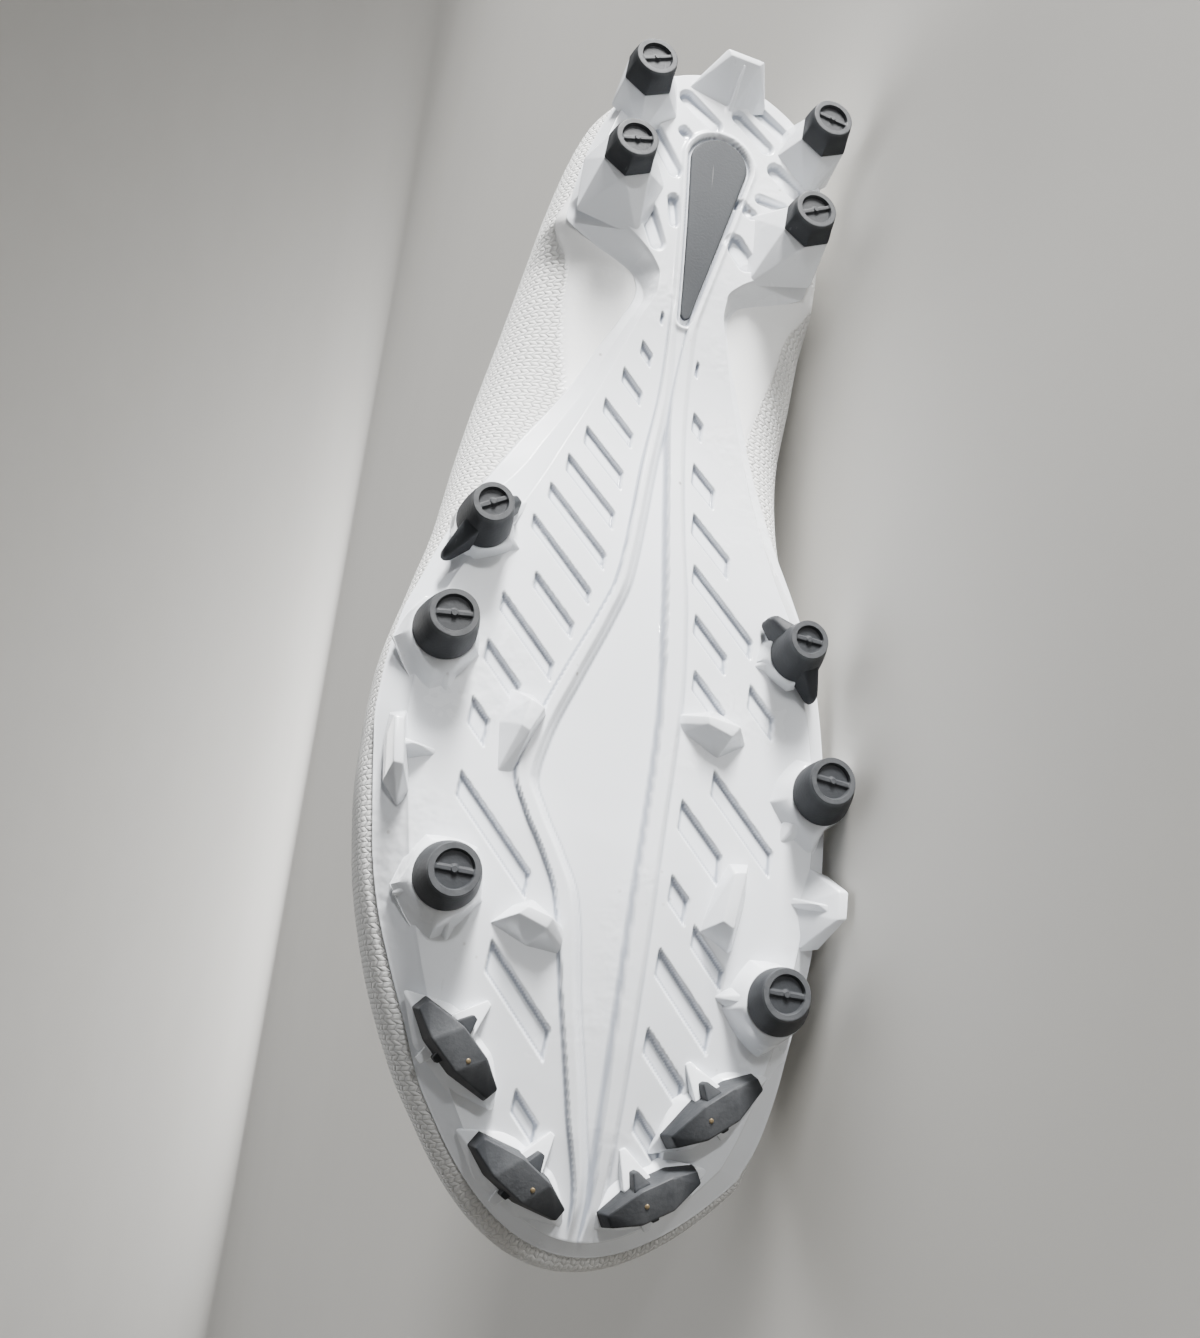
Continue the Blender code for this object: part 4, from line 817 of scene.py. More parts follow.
def arm_shape(stud, at, across):
    """White ridge from the root of a round stud down to a point on the plate, as a hull."""
    root_radius = TIP_SIZES[stud[5]][1]
    _, root = stud_axis(stud)
    far = place(at, across, 0.0)
    out = unit((far - root)[:2])
    side = np.array((-out[1], out[0])) * root_radius
    foot = [far[:2], root[:2] + side, root[:2] - side, root[:2] - out * root_radius * 0.5]
    low = on_height(np.array(foot), BURIED)
    reach = root[:2] + out * root_radius * 0.98
    top = np.array([reach + side * 0.12, reach - side * 0.12, root[:2] + side * 0.9, root[:2] - side * 0.9])
    high = np.column_stack([top, np.full(4, root[2] + 0.0002)])
    return hull_shape(low, high, 0.0003)


def hull_shape(low, high, bevel):
    """Convex hull of two sets of points with its edges rounded, as points and polygons."""
    work = bmesh.new()
    for point in np.concatenate([low, high]):
        work.verts.new(point)
    result = bmesh.ops.convex_hull(work, input=work.verts)
    loose = [v for v in result["geom_interior"] if isinstance(v, bmesh.types.BMVert)]
    bmesh.ops.delete(work, geom=loose, context="VERTS")
    flat = [e for e in work.edges if e.is_manifold and e.calc_face_angle(0) < 0.06]
    bmesh.ops.dissolve_edges(work, edges=flat)
    bmesh.ops.bevel(
        work, geom=list(work.edges), offset=bevel, segments=3, affect="EDGES", profile=0.6,
        clamp_overlap=True,
    )
    work.verts.index_update()
    points = np.array([v.co[:] for v in work.verts])
    polygons = [[v.index for v in f.verts] for f in work.faces]
    work.free()
    return points, np.empty((0, 4), int), polygons


def lug_shape(lug):
    """White lug or rib: hull from its foot in the plate to its top corners."""
    _, height, foot, top = lug
    high = place(*np.array(top).T, -height / 100 * STUD_HEIGHT)
    return hull_shape(place(*np.array(foot).T, BURIED), high, 0.0003)


def blade_frame(blade):
    """Middle of a blade in plan, its length, its direction and the sideways direction."""
    _, at_a, across_a, at_b, across_b, _, _ = blade
    a, b = place(at_a, across_a, 0.0), place(at_b, across_b, 0.0)
    along = (b - a) * IN_PLAN
    length = np.linalg.norm(along)
    along = along / length
    return (a + b) / 2, length, along, np.array((-along[1], along[0], 0.0))


BLADE_CORNERS = np.array((
    (1, 0.35), (0.25, 1), (-0.45, 1), (-1, 0.5), (-1, -0.35), (-0.25, -1), (0.45, -1), (1, -0.5),
))


def blade_corners(blade, spread, height):
    """Corners of a blade's outline grown by spread, each at its own height over the plate in metres."""
    middle, length, along, side = blade_frame(blade)
    half, wide = length / 2 + spread, BLADE_WIDTH / 2 + spread
    plan = middle + BLADE_CORNERS[:, :1] * half * along + BLADE_CORNERS[:, 1:] * wide * side
    return on_height(plan[:, :2], -np.broadcast_to(height, len(plan)))


def blade_sides(blade):
    """Sideways direction of a blade towards its long nub, and that nub's place along the blade."""
    middle, _, along, side = blade_frame(blade)
    toward = (place(blade[5], blade[6], 0.0) - middle) * IN_PLAN
    return side * np.sign(np.dot(toward, side)), np.dot(toward, along)


def wedge(blade, along_at, reaches, widths, heights, bevel):
    """Hull of a wedge that stands across a blade, from its middle to a far end, foot and top."""
    middle, _, along, _ = blade_frame(blade)
    out, _ = blade_sides(blade)
    corners = [[], []]
    for level in (0, 1):
        for reach, width, height in zip(reaches, widths, heights[level]):
            for turn in (-0.5, 0.5):
                plan = middle + along * (along_at + turn * width) + out * reach
                corners[level].append(on_height(plan[None, :2], -height)[0])
    return hull_shape(np.array(corners[0]), np.array(corners[1]), bevel)


def seat_shapes(blade):
    """White seat of a toe blade: a long form with a point at each end, and one across under the nubs."""
    middle, length, along, _ = blade_frame(blade)
    out, nub_at = blade_sides(blade)
    half = length / 2
    points = [middle + along * u * (half + SEAT_POINT) - out * 0.0012 for u in (-1, 1)]
    wide = out * (BLADE_WIDTH / 2 + SEAT_MARGIN)
    flanks = [middle + along * u * half * 0.5 + wide * v for u in (-1, 1) for v in (-1, 1)]
    foot = np.array(points + flanks)
    low = on_height(foot[:, :2], 0.0008)
    high = blade_corners(blade, 0.0005, BLADE_SEAT)
    long_form = hull_shape(low, high, 0.0004)
    across = wedge(
        blade, nub_at, (-BLADE_WIDTH * 0.5 - 0.0034, BLADE_WIDTH * 0.5, BLADE_WIDTH * 0.5 + 0.0070),
        (0.0016, 0.0060, 0.0012), ((-0.0008, -0.0008, -0.0008), (0.0004, 0.0034, 0.0004)), 0.0003,
    )
    return [long_form, across]


def blade_shapes(blade):
    """Grey blade as a beveled hull: drafted sides, level middle, two sloping ends, two side nubs."""
    _, nub_at = blade_sides(blade)
    ends = np.where(np.abs(BLADE_CORNERS[:, 0]) > 0.9, np.where(BLADE_CORNERS[:, 0] < 0, 0.70, 0.76), 1.0)
    body = hull_shape(
        blade_corners(blade, BLADE_DRAFT, BLADE_SEAT * 0.6),
        blade_corners(blade, -0.0003, ends * BLADE_HEIGHT), 0.0004,
    )
    half, top = BLADE_WIDTH / 2, BLADE_HEIGHT
    long_nub = wedge(
        blade, nub_at, (0.0, half, half + NUB_REACH), (NUB_ROOT * 1.6, NUB_ROOT * 1.2, NUB_TIP),
        ((-0.0, 0.0014, 0.0014), (top * 0.86, top * 0.80, top * 0.60)), 0.0003,
    )
    short_nub = wedge(
        blade, nub_at * 0.4, (0.0, -half - NUB_REACH * 0.42), (NUB_ROOT * 1.2, NUB_TIP * 1.3),
        ((0.0012, 0.0012), (top * 0.80, top * 0.56)), 0.0003,
    )
    return [body, long_nub, short_nub]


def pin_shape(blade):
    """Small brass-coloured pin let into a blade's top."""
    middle, length, along, _ = blade_frame(blade)
    centre = middle + along * length * 0.12
    rings = []
    for size, height in ((1.0, 0.90), (1.0, 1.004), (0.8, 1.016), (0.3, 1.02)):
        offsets = ring_of(PIN_RADIUS * size, full_turn(24))
        rings.append(on_height(centre[:2] + offsets, -height * BLADE_HEIGHT))
    return loft(rings)


# Round tips

# Side of a round tip from its root to its rim: place along its axis, share of the draft, wear
TIP_STEPS = (
    (1.0, 0.97, 0.0), (0.985, 0.995, 0.0), (0.95, 1.0, 0.0), (0.80, 0.90, 0.0), (0.60, 0.72, 0.0),
    (0.40, 0.50, 0.0), (0.24, 0.30, 0.0), (0.13, 0.12, 0.2), (0.075, 0.03, 0.6), (0.035, -0.01, 0.9),
    (0.012, -0.05, 1.0), (0.0, -0.10, 1.0),
)


def tip_shape(stud, count=128):
    """Grey round tip: faceted root, drafted side, rounded rim, sunk face, bar across it and a small nub."""
    tip_radius, root_radius, _, sides = TIP_SIZES[stud[5]]
    end, root = stud_axis(stud)
    turn = full_turn(count)
    rings, worn = [], []
    for along, widen, wear in TIP_STEPS:
        radius = tip_radius + (root_radius - tip_radius) * widen
        centre = end + (root - end) * along
        offsets = ring_of(radius, turn, sides, min(1.0, 1.5 * along))
        rings.append(np.column_stack([centre[:2] + offsets, np.full(count, centre[2])]))
        worn.append(np.full(count, wear))
    rim = np.hypot(*(rings[-1] - end)[:, :2].T).mean()
    inner = tip_radius - TIP_RIM
    radii = np.concatenate([
        np.linspace(1.0, 0.0, 5)[1:] * (rim - inner) + inner, np.linspace(1, 0, 22)[1:-1] * inner,
        [inner * 0.02],
    ])
    for radius in radii:
        sunk = soft((inner - radius) / 0.00035)
        beside = np.abs(radius * np.sin(turn - math.radians(stud[6])))
        bar = soft((TIP_BAR / 2 - beside) / 0.0004 + 0.3)
        nub = soft((TIP_NUB - radius) / 0.0005 + 0.3)
        keep = np.maximum(bar * 0.62, nub * 0.9)
        depth = TIP_RECESS * sunk * (1 - keep)
        rings.append(np.column_stack([end[:2] + ring_of(radius, turn), end[2] + depth]))
        worn.append(np.clip(1 - sunk, 0, 1) + 0.5 * keep * sunk)
    return loft(rings), np.concatenate(worn)


def fin_shape(fin, end, root):
    """Fin of a waist tip: a wedge as wide as the tip where it leaves it, dropping to a rounded far end."""
    _, at, across, far_up = fin
    far = place(at, across, 0.0)
    along = (far - root) * IN_PLAN
    length = np.linalg.norm(along)
    along = along / length
    side = np.array((-along[1], along[0], 0.0))
    tip_radius = TIP_SIZES["wing"][0]
    profile = np.array((
        (1.0, 0.0), (0.92, 0.35), (0.82, 0.72), (0.74, 0.90), (0.60, 0.975), (0.3, 1.0), (0.0, 1.0),
        (-0.3, 1.0), (-0.60, 0.975), (-0.74, 0.90), (-0.82, 0.72), (-0.92, 0.35), (-1.0, 0.0),
    ))
    sections = []
    for share in np.concatenate([np.linspace(0.0, 0.90, 12), [0.95, 0.98, 1.0]]):
        spine = root + (end - root) * (1 - share) * 0.5 + along * share * length
        close = math.sqrt(max(1 - (max(share - 0.88, 0) / 0.125) ** 2, 0.03))
        half = (tip_radius * 0.86 * (1 - share) + 0.0011 * share) * close
        low = base(spine[0] / AT_UNIT) - 0.0012 * share - (1 - share) * 0.0024
        top = (-STUD_HEIGHT + 0.0009) * (1 - share) + (base(at) - far_up) * share
        high = low + (top - low) * (0.35 + 0.65 * close)
        ups = low + (high - low) * profile[:, 1]
        plan = spine[:2] + (profile[:, 0] * half)[:, None] * side[:2]
        sections.append(np.column_stack([plan, ups]))
    return loft(sections)


# Heel inset

def inset_shape():
    """Grey drop let into the heel: its underside rises to a rounded rim and lies flat inside it."""
    ends = [0.0, 0.002, 0.008, 0.02, 0.04], [0.985, 0.995, 1.0]
    share = np.concatenate([ends[0], np.linspace(0.06, 0.97, 80), ends[1]])
    x = INSET_START + share * (INSET_END - INSET_START)
    half = np.maximum(inset_width(x), 0.0004)
    half = half * np.maximum(np.sqrt(np.clip((1 - share) / 0.015, 0, 1)), 0.25)
    columns = np.array((1.0, 1.0, 0.97, 0.92, 0.84, 0.7, 0.62, 0.54, 0.3, 0.0))
    lift = np.array((0.9, 0.35, 0.12, 0.05, 0.03, 0.02, 0.02, 0.0, 0.0, 0.0))
    columns, lift = np.concatenate([columns, -columns[-2::-1]]), np.concatenate([lift, lift[-2::-1]])
    y = inset_middle(x)[:, None] + half[:, None] * columns
    plan = np.stack([np.broadcast_to(x[:, None], y.shape), y], axis=-1)
    return *slab(on_height(plan, 0.00015 + 0.0009 * lift), on_height(plan, 0.0013)), []


# Upper

def side_path(table, tips, sides, ends):
    """Closed outline in percent: lateral side to the toe, toe arc, medial side back, heel arc."""
    first, last = table[0][0], table[-1][0]
    at = first + sides * (last - first)
    lateral = np.stack([at, smooth(table, 1, at)], axis=-1)
    medial = np.stack([at, smooth(table, 2, at)], axis=-1)[::-1]
    arcs = []
    for (row_at, low, high), tip, sign in ((table[-1], tips[1], -1), (table[0], tips[0], 1)):
        bow = row_at + (tip - row_at) * (1 - ends**2)
        arcs.append(np.stack([bow, (low + high) / 2 + sign * ends * (low - high) / 2], axis=-1))
    return np.concatenate([lateral, arcs[0], medial, arcs[1]])


def opening_path(sides, ends):
    """Plan and height of the collar and throat edge, point for point above the widest line."""
    wall = WIDEST[0][0] + sides * (WIDEST[-1][0] - WIDEST[0][0])
    at = smooth(OPENING, 1, wall)
    half, centre, height = (smooth(OPENING, c, wall) for c in (2, 3, 4))
    lateral = np.stack([at, centre + half, height], axis=-1)
    medial = np.stack([at, centre - half, height], axis=-1)[::-1]
    bow = 1 - ends**2
    last, first = OPENING[-1], OPENING[0]
    toe = np.stack([
        last[1] + (OPENING_TIPS[1] - last[1]) * bow, last[3] - ends * last[2], np.full(len(ends), last[4]),
    ], axis=-1)
    heel = np.stack([
        first[1] + (OPENING_TIPS[0] - first[1]) * bow, first[3] + ends * first[2], first[4] + 2 * bow,
    ], axis=-1)
    return np.concatenate([lateral, toe, medial, heel])


def bottom_path(sides, ends):
    """Turned-in edge of the upper, which lies on the plate inside the plate's own edge."""
    edge = side_path(PLATE_EDGE, PLATE_TIPS, sides, ends)
    s, e = len(sides), len(ends)
    inset = np.zeros_like(edge)
    inset[:s, 1] = -BOTTOM_LAP
    inset[s + e:2 * s + e, 1] = BOTTOM_LAP
    bow = 1 - ends**2
    inset[s:s + e, 0] = -2.2 * bow
    inset[s:s + e, 1] = BOTTOM_LAP * ends
    inset[2 * s + e:, 0] = 2.2 * bow
    inset[2 * s + e:, 1] = -BOTTOM_LAP * ends
    return edge + inset


def upper_outside(sides, ends, lower, upper):
    """Outer surface of the upper [row, column, xyz] from its turned-in edge to the opening.

    lower gives shares of the quarter turn under the widest line, upper shares of the curve over it.
    """
    bottom = bottom_path(sides, ends)
    wide = side_path(WIDEST, WIDEST_TIPS, sides, ends)
    top = opening_path(sides, ends)
    at = wide[:, 0]
    wide_up, square, rise, reach, drop = (smooth(SECTION, c, at) for c in (1, 2, 3, 4, 5))
    low, high = PLATE_THICKNESS + INSET_GAP, PLATE_THICKNESS + wide_up / 100 * HEEL_HEIGHT
    q = place(bottom[:, 0], bottom[:, 1], low)
    w = place(at, wide[:, 1], high)
    o = place(top[:, 0], top[:, 1], 0.0)
    o[:, 2] = top[:, 2] / 100 * HEEL_HEIGHT
    film = smooth(FILM, 1, at)
    step = FILM_STEP * np.clip((FILM_END - at) / 1.5, 0, 1)
    rows, covers = [], []
    for share in lower:
        turn = share * math.pi / 2
        inward = 1 - math.sin(turn) ** (2 / square) if turn > 0 else np.ones_like(square)
        up = 1 - math.cos(turn) ** (2 / square)
        point = w + (q - w) * inward[:, None]
        point[:, 2] = base(point[:, 0] / AT_UNIT) + low + (high - low) * up
        cover = soft((film + 0.015 - share) / 0.03)
        out = unit((w - q) * IN_PLAN)
        edge_on = cover * soft(share / 0.05)
        point += out * (step * edge_on * math.sin(turn))[:, None]
        point[:, 2] -= step * edge_on * math.cos(turn)
        rows.append(point)
        covers.append(cover * np.clip((FILM_END - at) / 1.5, 0, 1))
    for share in upper:
        one, two, three = 3 * share * (1 - share) ** 2, 3 * share**2 * (1 - share), share**3
        shift = (two * (1 - reach) + three)[:, None]
        point = w + (o - w) * shift
        climb = o[:, 2] - w[:, 2]
        point[:, 2] = w[:, 2] + climb * (one * rise + two * (1 - drop) + three)
        rows.append(point)
        covers.append(np.zeros(len(at)))
    return np.array(rows), np.array(covers)


def grid_normals(grid):
    """Unit normals of a grid whose columns close on themselves."""
    around = np.roll(grid, -1, axis=1) - np.roll(grid, 1, axis=1)
    return unit(np.cross(around, np.gradient(grid, axis=0)))


def upper_stations(count):
    """Places along the upper's sides as shares, closer together where the waist turns in."""
    fine = np.linspace(0, 1, 4000)
    at = WIDEST[0][0] + fine * (WIDEST[-1][0] - WIDEST[0][0])
    density = 1 + 1.2 * bell(at - 20.5, 3.5)
    reach = np.concatenate([[0], np.cumsum((density[1:] + density[:-1]) / 2)])
    return np.interp(np.linspace(0, reach[-1], count), reach, fine)


def lay_knit(mesh, u, v, total):
    """Knit's own UV in metres, from values for each vertex; faces over the seam go on past the total."""
    corner = np.empty(len(mesh.loops), np.int32)
    mesh.loops.foreach_get("vertex_index", corner)
    corner_uv = np.stack([u, v], axis=-1)[corner]
    block = corner_uv[:, 0].reshape(-1, 4)
    wraps = (block.max(axis=1) - block.min(axis=1)) > total / 2
    block[wraps] = np.where(block[wraps] < total / 2, block[wraps] + total, block[wraps])
    corner_uv[:, 0] = block.ravel()
    uv = mesh.uv_layers.new(name="knit")
    uv.data.foreach_set("uv", corner_uv.ravel().astype(np.float32))


def upper_mesh():
    """Hollow upper: outer grid, the same grid moved in by the wall, and a rounded edge between them."""
    count = bpy.context.scene.cleat.upper_around // 2 - 30
    lower = np.concatenate([np.linspace(0, 0.5, 26), np.linspace(0.53, 0.96, 12)])
    outer, cover = upper_outside(upper_stations(count), ARC_ENDS, lower, np.linspace(0, 1, 32))
    normals = grid_normals(outer)
    if np.median(np.sum(normals * (outer - outer.mean(axis=(0, 1))), axis=-1)) < 0:
        normals = -normals
    inner = outer - normals * WALL
    top_edge = (outer[-1] + inner[-1]) / 2 + np.array((0.0, 0.0, 0.35 * WALL))
    rows = np.concatenate([outer, top_edge[None], inner[::-1]])
    k, n = rows.shape[:2]
    mesh = make_mesh("upper", rows.reshape(-1, 3), grid_quads(k, n, closed_rows=True, closed_columns=True))
    step_up = np.linalg.norm(np.diff(outer, axis=0), axis=-1)
    v = np.concatenate([np.zeros((1, n)), np.cumsum(step_up, axis=0)])
    waist_row = outer[len(lower)]
    step_round = np.linalg.norm(np.roll(waist_row, -1, axis=0) - waist_row, axis=-1)
    u = np.broadcast_to(np.concatenate([[0], np.cumsum(step_round)[:-1]]), v.shape)

    def both(values):
        """Values of the outer grid, and the same again for the edge and the inner grid."""
        return np.concatenate([values, values[-1:], values[::-1]]).ravel()

    lay_knit(mesh, both(u), both(v - v[len(lower)]), float(np.sum(step_round)))
    add_values(mesh, "film", both(cover))
    add_values(mesh, "along", both(outer[..., 0]))
    add_values(mesh, "inside", np.concatenate([np.zeros((len(outer) + 1, n)), np.ones((len(inner), n))]))
    return mesh


# Tongue, insole and laces

def throat_frame(at):
    """Half width, centre and height of the throat at places along it, in percent."""
    table = [(row[1], *row[2:]) for row in OPENING if row[1] > 30]
    return tuple(smooth(table, c, at) for c in (1, 2, 3))


def tongue_mesh():
    """Padded strip under the throat: crowned between stitched channels, thin and rounded at its edge."""
    at = np.linspace(TONGUE_FRONT, TONGUE_TOP, 136)
    half, centre, height = throat_frame(np.minimum(at, 67.0))
    wide = np.minimum(half + TONGUE_LAP / ACROSS_UNIT, TONGUE_HALF / ACROSS_UNIT)
    share = np.sin(np.linspace(math.pi / 2, -math.pi / 2, 61))
    corner = np.sqrt(np.clip(1 - ((33.8 - np.minimum(at, 33.8)) / 0.9) ** 2, 0.3, 1))
    across = centre[:, None] + share * (wide * corner)[:, None]
    beyond = np.clip(np.abs(share) * wide[:, None] - half[:, None], 0, None)
    sag = TONGUE_SAG * (1 + 2.2 * np.clip((44.0 - at) / 6.0, 0, 1))
    drop = 0.0008 * beyond + sag[:, None] * share**2
    rise = TONGUE_RISE * np.clip((40.0 - at) / 7.0, 0, 1) ** 1.5
    tuck = 0.0045 * np.clip((at - 65.0) / 5.0, 0, 1)
    up = (height / 100 * HEEL_HEIGHT + rise - WALL - tuck)[:, None] - drop
    pad = soft((43.0 - at) / 5)[:, None] * (1 - share**4)
    sides = bell(np.abs(share) - 0.72, 0.03) * soft((43.0 - at) / 4)[:, None]
    channel = bell(at[:, None] - 41.5, 0.35) + sides
    up = up + 0.0012 * pad - 0.0010 * channel * (0.3 + 0.7 * pad)
    ends = np.clip((at - TONGUE_TOP) / 0.6, 0, 1) ** 0.5 * np.clip((TONGUE_FRONT - at) / 0.6, 0, 1) ** 0.5
    thick = TONGUE_THICKNESS * (0.18 + 0.82 * (1 - share**8) * ends[:, None])
    x = np.broadcast_to(at[:, None], across.shape) * AT_UNIT
    middle = up - TONGUE_THICKNESS / 2
    faces = [np.stack([x, across * ACROSS_UNIT, middle + side * thick / 2], axis=-1) for side in (1, -1)]
    return make_mesh("tongue", *slab(*faces))


def insole_mesh():
    """Footbed on the turned-in edge of the upper: cupped at the heel, with a rounded edge."""
    table = [
        (at, lateral - lap, medial + lap) for (at, lateral, medial), lap in zip(WIDEST, INSOLE_LAP)
    ]
    tips = (WIDEST_TIPS[0] + INSOLE_TIP_LAP, WIDEST_TIPS[1] - INSOLE_TIP_LAP)
    rows = np.concatenate([[0.0, 0.003], np.linspace(0.01, 0.99, 150), [0.997, 1.0]])
    share = np.sin(np.linspace(math.pi / 2, -math.pi / 2, 61))
    at, across = patch(table, tips, rows, share)
    lift = smooth(INSOLE_LIFT, 1, at)
    low = PLATE_THICKNESS + 2 * INSET_GAP + WALL + lift
    ends = np.minimum(rows, 1 - rows)
    edge = 0.1 + 0.9 * np.minimum(soft(ends / 0.012)[:, None], 1 - np.abs(share) ** 14)
    high = low + INSOLE_THICKNESS * edge
    return make_mesh("insole", *slab(place(at, across, low), place(at, across, high)))


def eyelet_places():
    """Centres of the eyelets on both sides of the throat, lateral then medial, front to top."""
    at = np.linspace(*EYELETS_AT, LACE_CROSSINGS + 1)
    half, centre, height = throat_frame(at)
    up = height / 100 * HEEL_HEIGHT
    places = []
    for side in (1, -1):
        y = (centre + side * (half + EYELET_REACH)) * ACROSS_UNIT
        places.append(np.stack([at * AT_UNIT, y, up], axis=-1))
    return places


def ribbon(path, across, width, thickness):
    """Flat lace along a path: an oval section, its wide side set by across."""
    tangent = unit(np.gradient(path, axis=0))
    across = unit(across - tangent * np.sum(across * tangent, axis=1, keepdims=True))
    normal = np.cross(tangent, across)
    turn = full_turn(20)
    u = np.sign(np.cos(turn)) * np.abs(np.cos(turn)) ** 0.6 * width[:, None] / 2
    v = np.sin(turn) * thickness / 2
    return path[:, None] + across[:, None] * u[..., None] + normal[:, None] * v[:, None]


def lace_mesh():
    """Front bar and crossings: each comes up through an eyelet and goes over to the other side's eyelet."""
    lateral, medial = eyelet_places()
    runs = [(lateral[0], medial[0], 0.0)]
    for i in range(LACE_CROSSINGS):
        runs.append((lateral[i], medial[i + 1], 0.0))
        runs.append((medial[i], lateral[i + 1], LACE_OVER))
    shapes = []
    share = np.linspace(0, 1, 60)
    hump = np.clip(np.minimum(share, 1 - share) / 0.10, 0, 1)
    width = LACE_WIDTH - LACE_PINCH * (1 - soft(hump))
    for start, end, over in runs:
        line = start + (end - start) * share[:, None]
        rise = LACE_LIFT + 0.0006 + LACE_CROWN * 4 * share * (1 - share)
        rise += over * soft(1 - np.abs(share - 0.5) / 0.22)
        line[:, 2] += rise * np.sqrt(1 - (1 - hump) ** 2) - LACE_DIP * (1 - hump) ** 3
        across = np.cross(unit(end - start), (0.0, 0.0, 1.0))
        shapes.append(loft(ribbon(line, across, width, LACE_THICKNESS)))
    return join_meshes("laces", shapes)


def eyelet_mesh():
    """Rounded binding ring round each eyelet, laid on the upper's outside at its nearest point."""
    shapes = []
    ends = np.linspace(-1, 1, 22)[1:-1]
    outer, _ = upper_outside(np.linspace(0, 1, 900), ends, np.linspace(0, 0.9, 4), np.linspace(0, 1, 40))
    normals = grid_normals(outer)[4:].reshape(-1, 3)
    outer = outer[4:].reshape(-1, 3)
    turn, tube = full_turn(28), full_turn(10)
    radius = (EYELET_RADIUS + 0.0007 * np.cos(tube))[:, None, None]
    height = (0.0001 + 0.0006 * np.sin(tube))[:, None, None]
    for centre in np.concatenate(eyelet_places()):
        nearest = np.argmin(np.sum((outer[:, :2] - centre[:2]) ** 2, axis=1))
        upward = normals[nearest] * math.copysign(1.0, normals[nearest][2])
        first = unit(np.cross((0.0, 1.0, 0.0), upward))
        round_it = np.cos(turn)[:, None] * first + np.sin(turn)[:, None] * np.cross(upward, first)
        middle = np.array((*centre[:2], outer[nearest][2]))
        ring = middle + radius * round_it + height * upward
        quads = grid_quads(*ring.shape[:2], closed_rows=True, closed_columns=True)
        shapes.append((ring.reshape(-1, 3), quads, []))
    return join_meshes("eyelets", shapes)


# Materials

def add(tree, kind, values=None, **settings):
    """Node of a kind with its settings; values sets its sockets, and a socket given as value is linked."""
    node = tree.nodes.new(kind)
    for key, value in settings.items():
        setattr(node, key, value)
    for key, value in (values or {}).items():
        socket = node.inputs[key]
        if isinstance(value, bpy.types.NodeSocket):
            tree.links.new(value, socket)
        else:
            socket.default_value = value
    return node


def maths(tree, operation, *values, clamp=False):
    given = dict(enumerate(values))
    return add(tree, "ShaderNodeMath", given, operation=operation, use_clamp=clamp).outputs[0]


def times(tree, first, second):
    return maths(tree, "MULTIPLY", first, second)


def plus(tree, first, second, clamp=False):
    return maths(tree, "ADD", first, second, clamp=clamp)


def ramp_between(tree, value, low, high, to_low=0.0, to_high=1.0):
    """Value mapped smoothly from low..high to to_low..to_high."""
    values = {"Value": value, "From Min": low, "From Max": high, "To Min": to_low, "To Max": to_high}
    return add(tree, "ShaderNodeMapRange", values, interpolation_type="SMOOTHSTEP").outputs["Result"]


def mix_colors(tree, factor, first, second):
    """Mix of two colours, each given as a socket or as three numbers."""
    first, second = ((*c, 1.0) if isinstance(c, tuple) else c for c in (first, second))
    return add(tree, "ShaderNodeMix", {0: factor, 6: first, 7: second}, data_type="RGBA").outputs[2]


def tinted(tree, tone, mask, strength, color):
    """Tone turned toward a colour where the mask is, by a strength."""
    return mix_colors(tree, times(tree, mask, strength), tone, color)


def noise(tree, vector, scale, detail=2.0, roughness=0.5):
    values = {"Vector": vector, "Scale": scale, "Detail": detail, "Roughness": roughness}
    return add(tree, "ShaderNodeTexNoise", values).outputs["Fac"]


def object_place(tree):
    return add(tree, "ShaderNodeTexCoord").outputs["Object"]


def value_of(tree, name):
    return add(tree, "ShaderNodeAttribute", attribute_name=name).outputs["Fac"]


def bump(tree, height, strength, distance):
    values = {"Height": height, "Strength": strength, "Distance": distance}
    return add(tree, "ShaderNodeBump", values).outputs["Normal"]


def effect_group(name, inputs, masks):
    """Empty node group with its sockets; what it gives out are masks."""
    group = bpy.data.node_groups.new(name, "ShaderNodeTree")
    for label, kind in inputs:
        group.interface.new_socket(label, in_out="INPUT", socket_type=kind)
    for label in masks:
        group.interface.new_socket(label, in_out="OUTPUT", socket_type="NodeSocketFloat")
    return group, group.nodes.new("NodeGroupInput").outputs, group.nodes.new("NodeGroupOutput").inputs


def specks_group():
    """Dirt specks, soft smudges and short scuffs as masks, from a place on the shoe."""
    name = "specks_and_scuffs"
    if name in bpy.data.node_groups:
        return bpy.data.node_groups[name]
    inputs, masks = [("Place", "NodeSocketVector")], ("Specks", "Smudge", "Scuffs")
    group, given, wanted = effect_group(name, inputs, masks)
    place = given["Place"]
    dots = add(group, "ShaderNodeTexVoronoi", {"Vector": place, "Scale": 260.0, "Randomness": 1.0})
    small = ramp_between(group, dots.outputs["Distance"], 0.16, 0.05)
    some = ramp_between(group, noise(group, place, 60.0, 2.0), 0.60, 0.68)
    group.links.new(times(group, small, some), wanted["Specks"])
    cloud = noise(group, place, 22.0, 5.0, 0.65)
    group.links.new(ramp_between(group, cloud, 0.52, 0.74), wanted["Smudge"])
    drawn_out = {"Vector": place, "Scale": (60.0, 420.0, 900.0), "Rotation": (0.0, 0.5, 0.3)}
    stretched = add(group, "ShaderNodeMapping", drawn_out).outputs["Vector"]
    lines = ramp_between(group, noise(group, stretched, 1.0, 3.0, 0.6), 0.66, 0.74)
    patchy = ramp_between(group, noise(group, place, 35.0, 1.0), 0.5, 0.62)
    group.links.new(times(group, lines, patchy), wanted["Scuffs"])
    return group


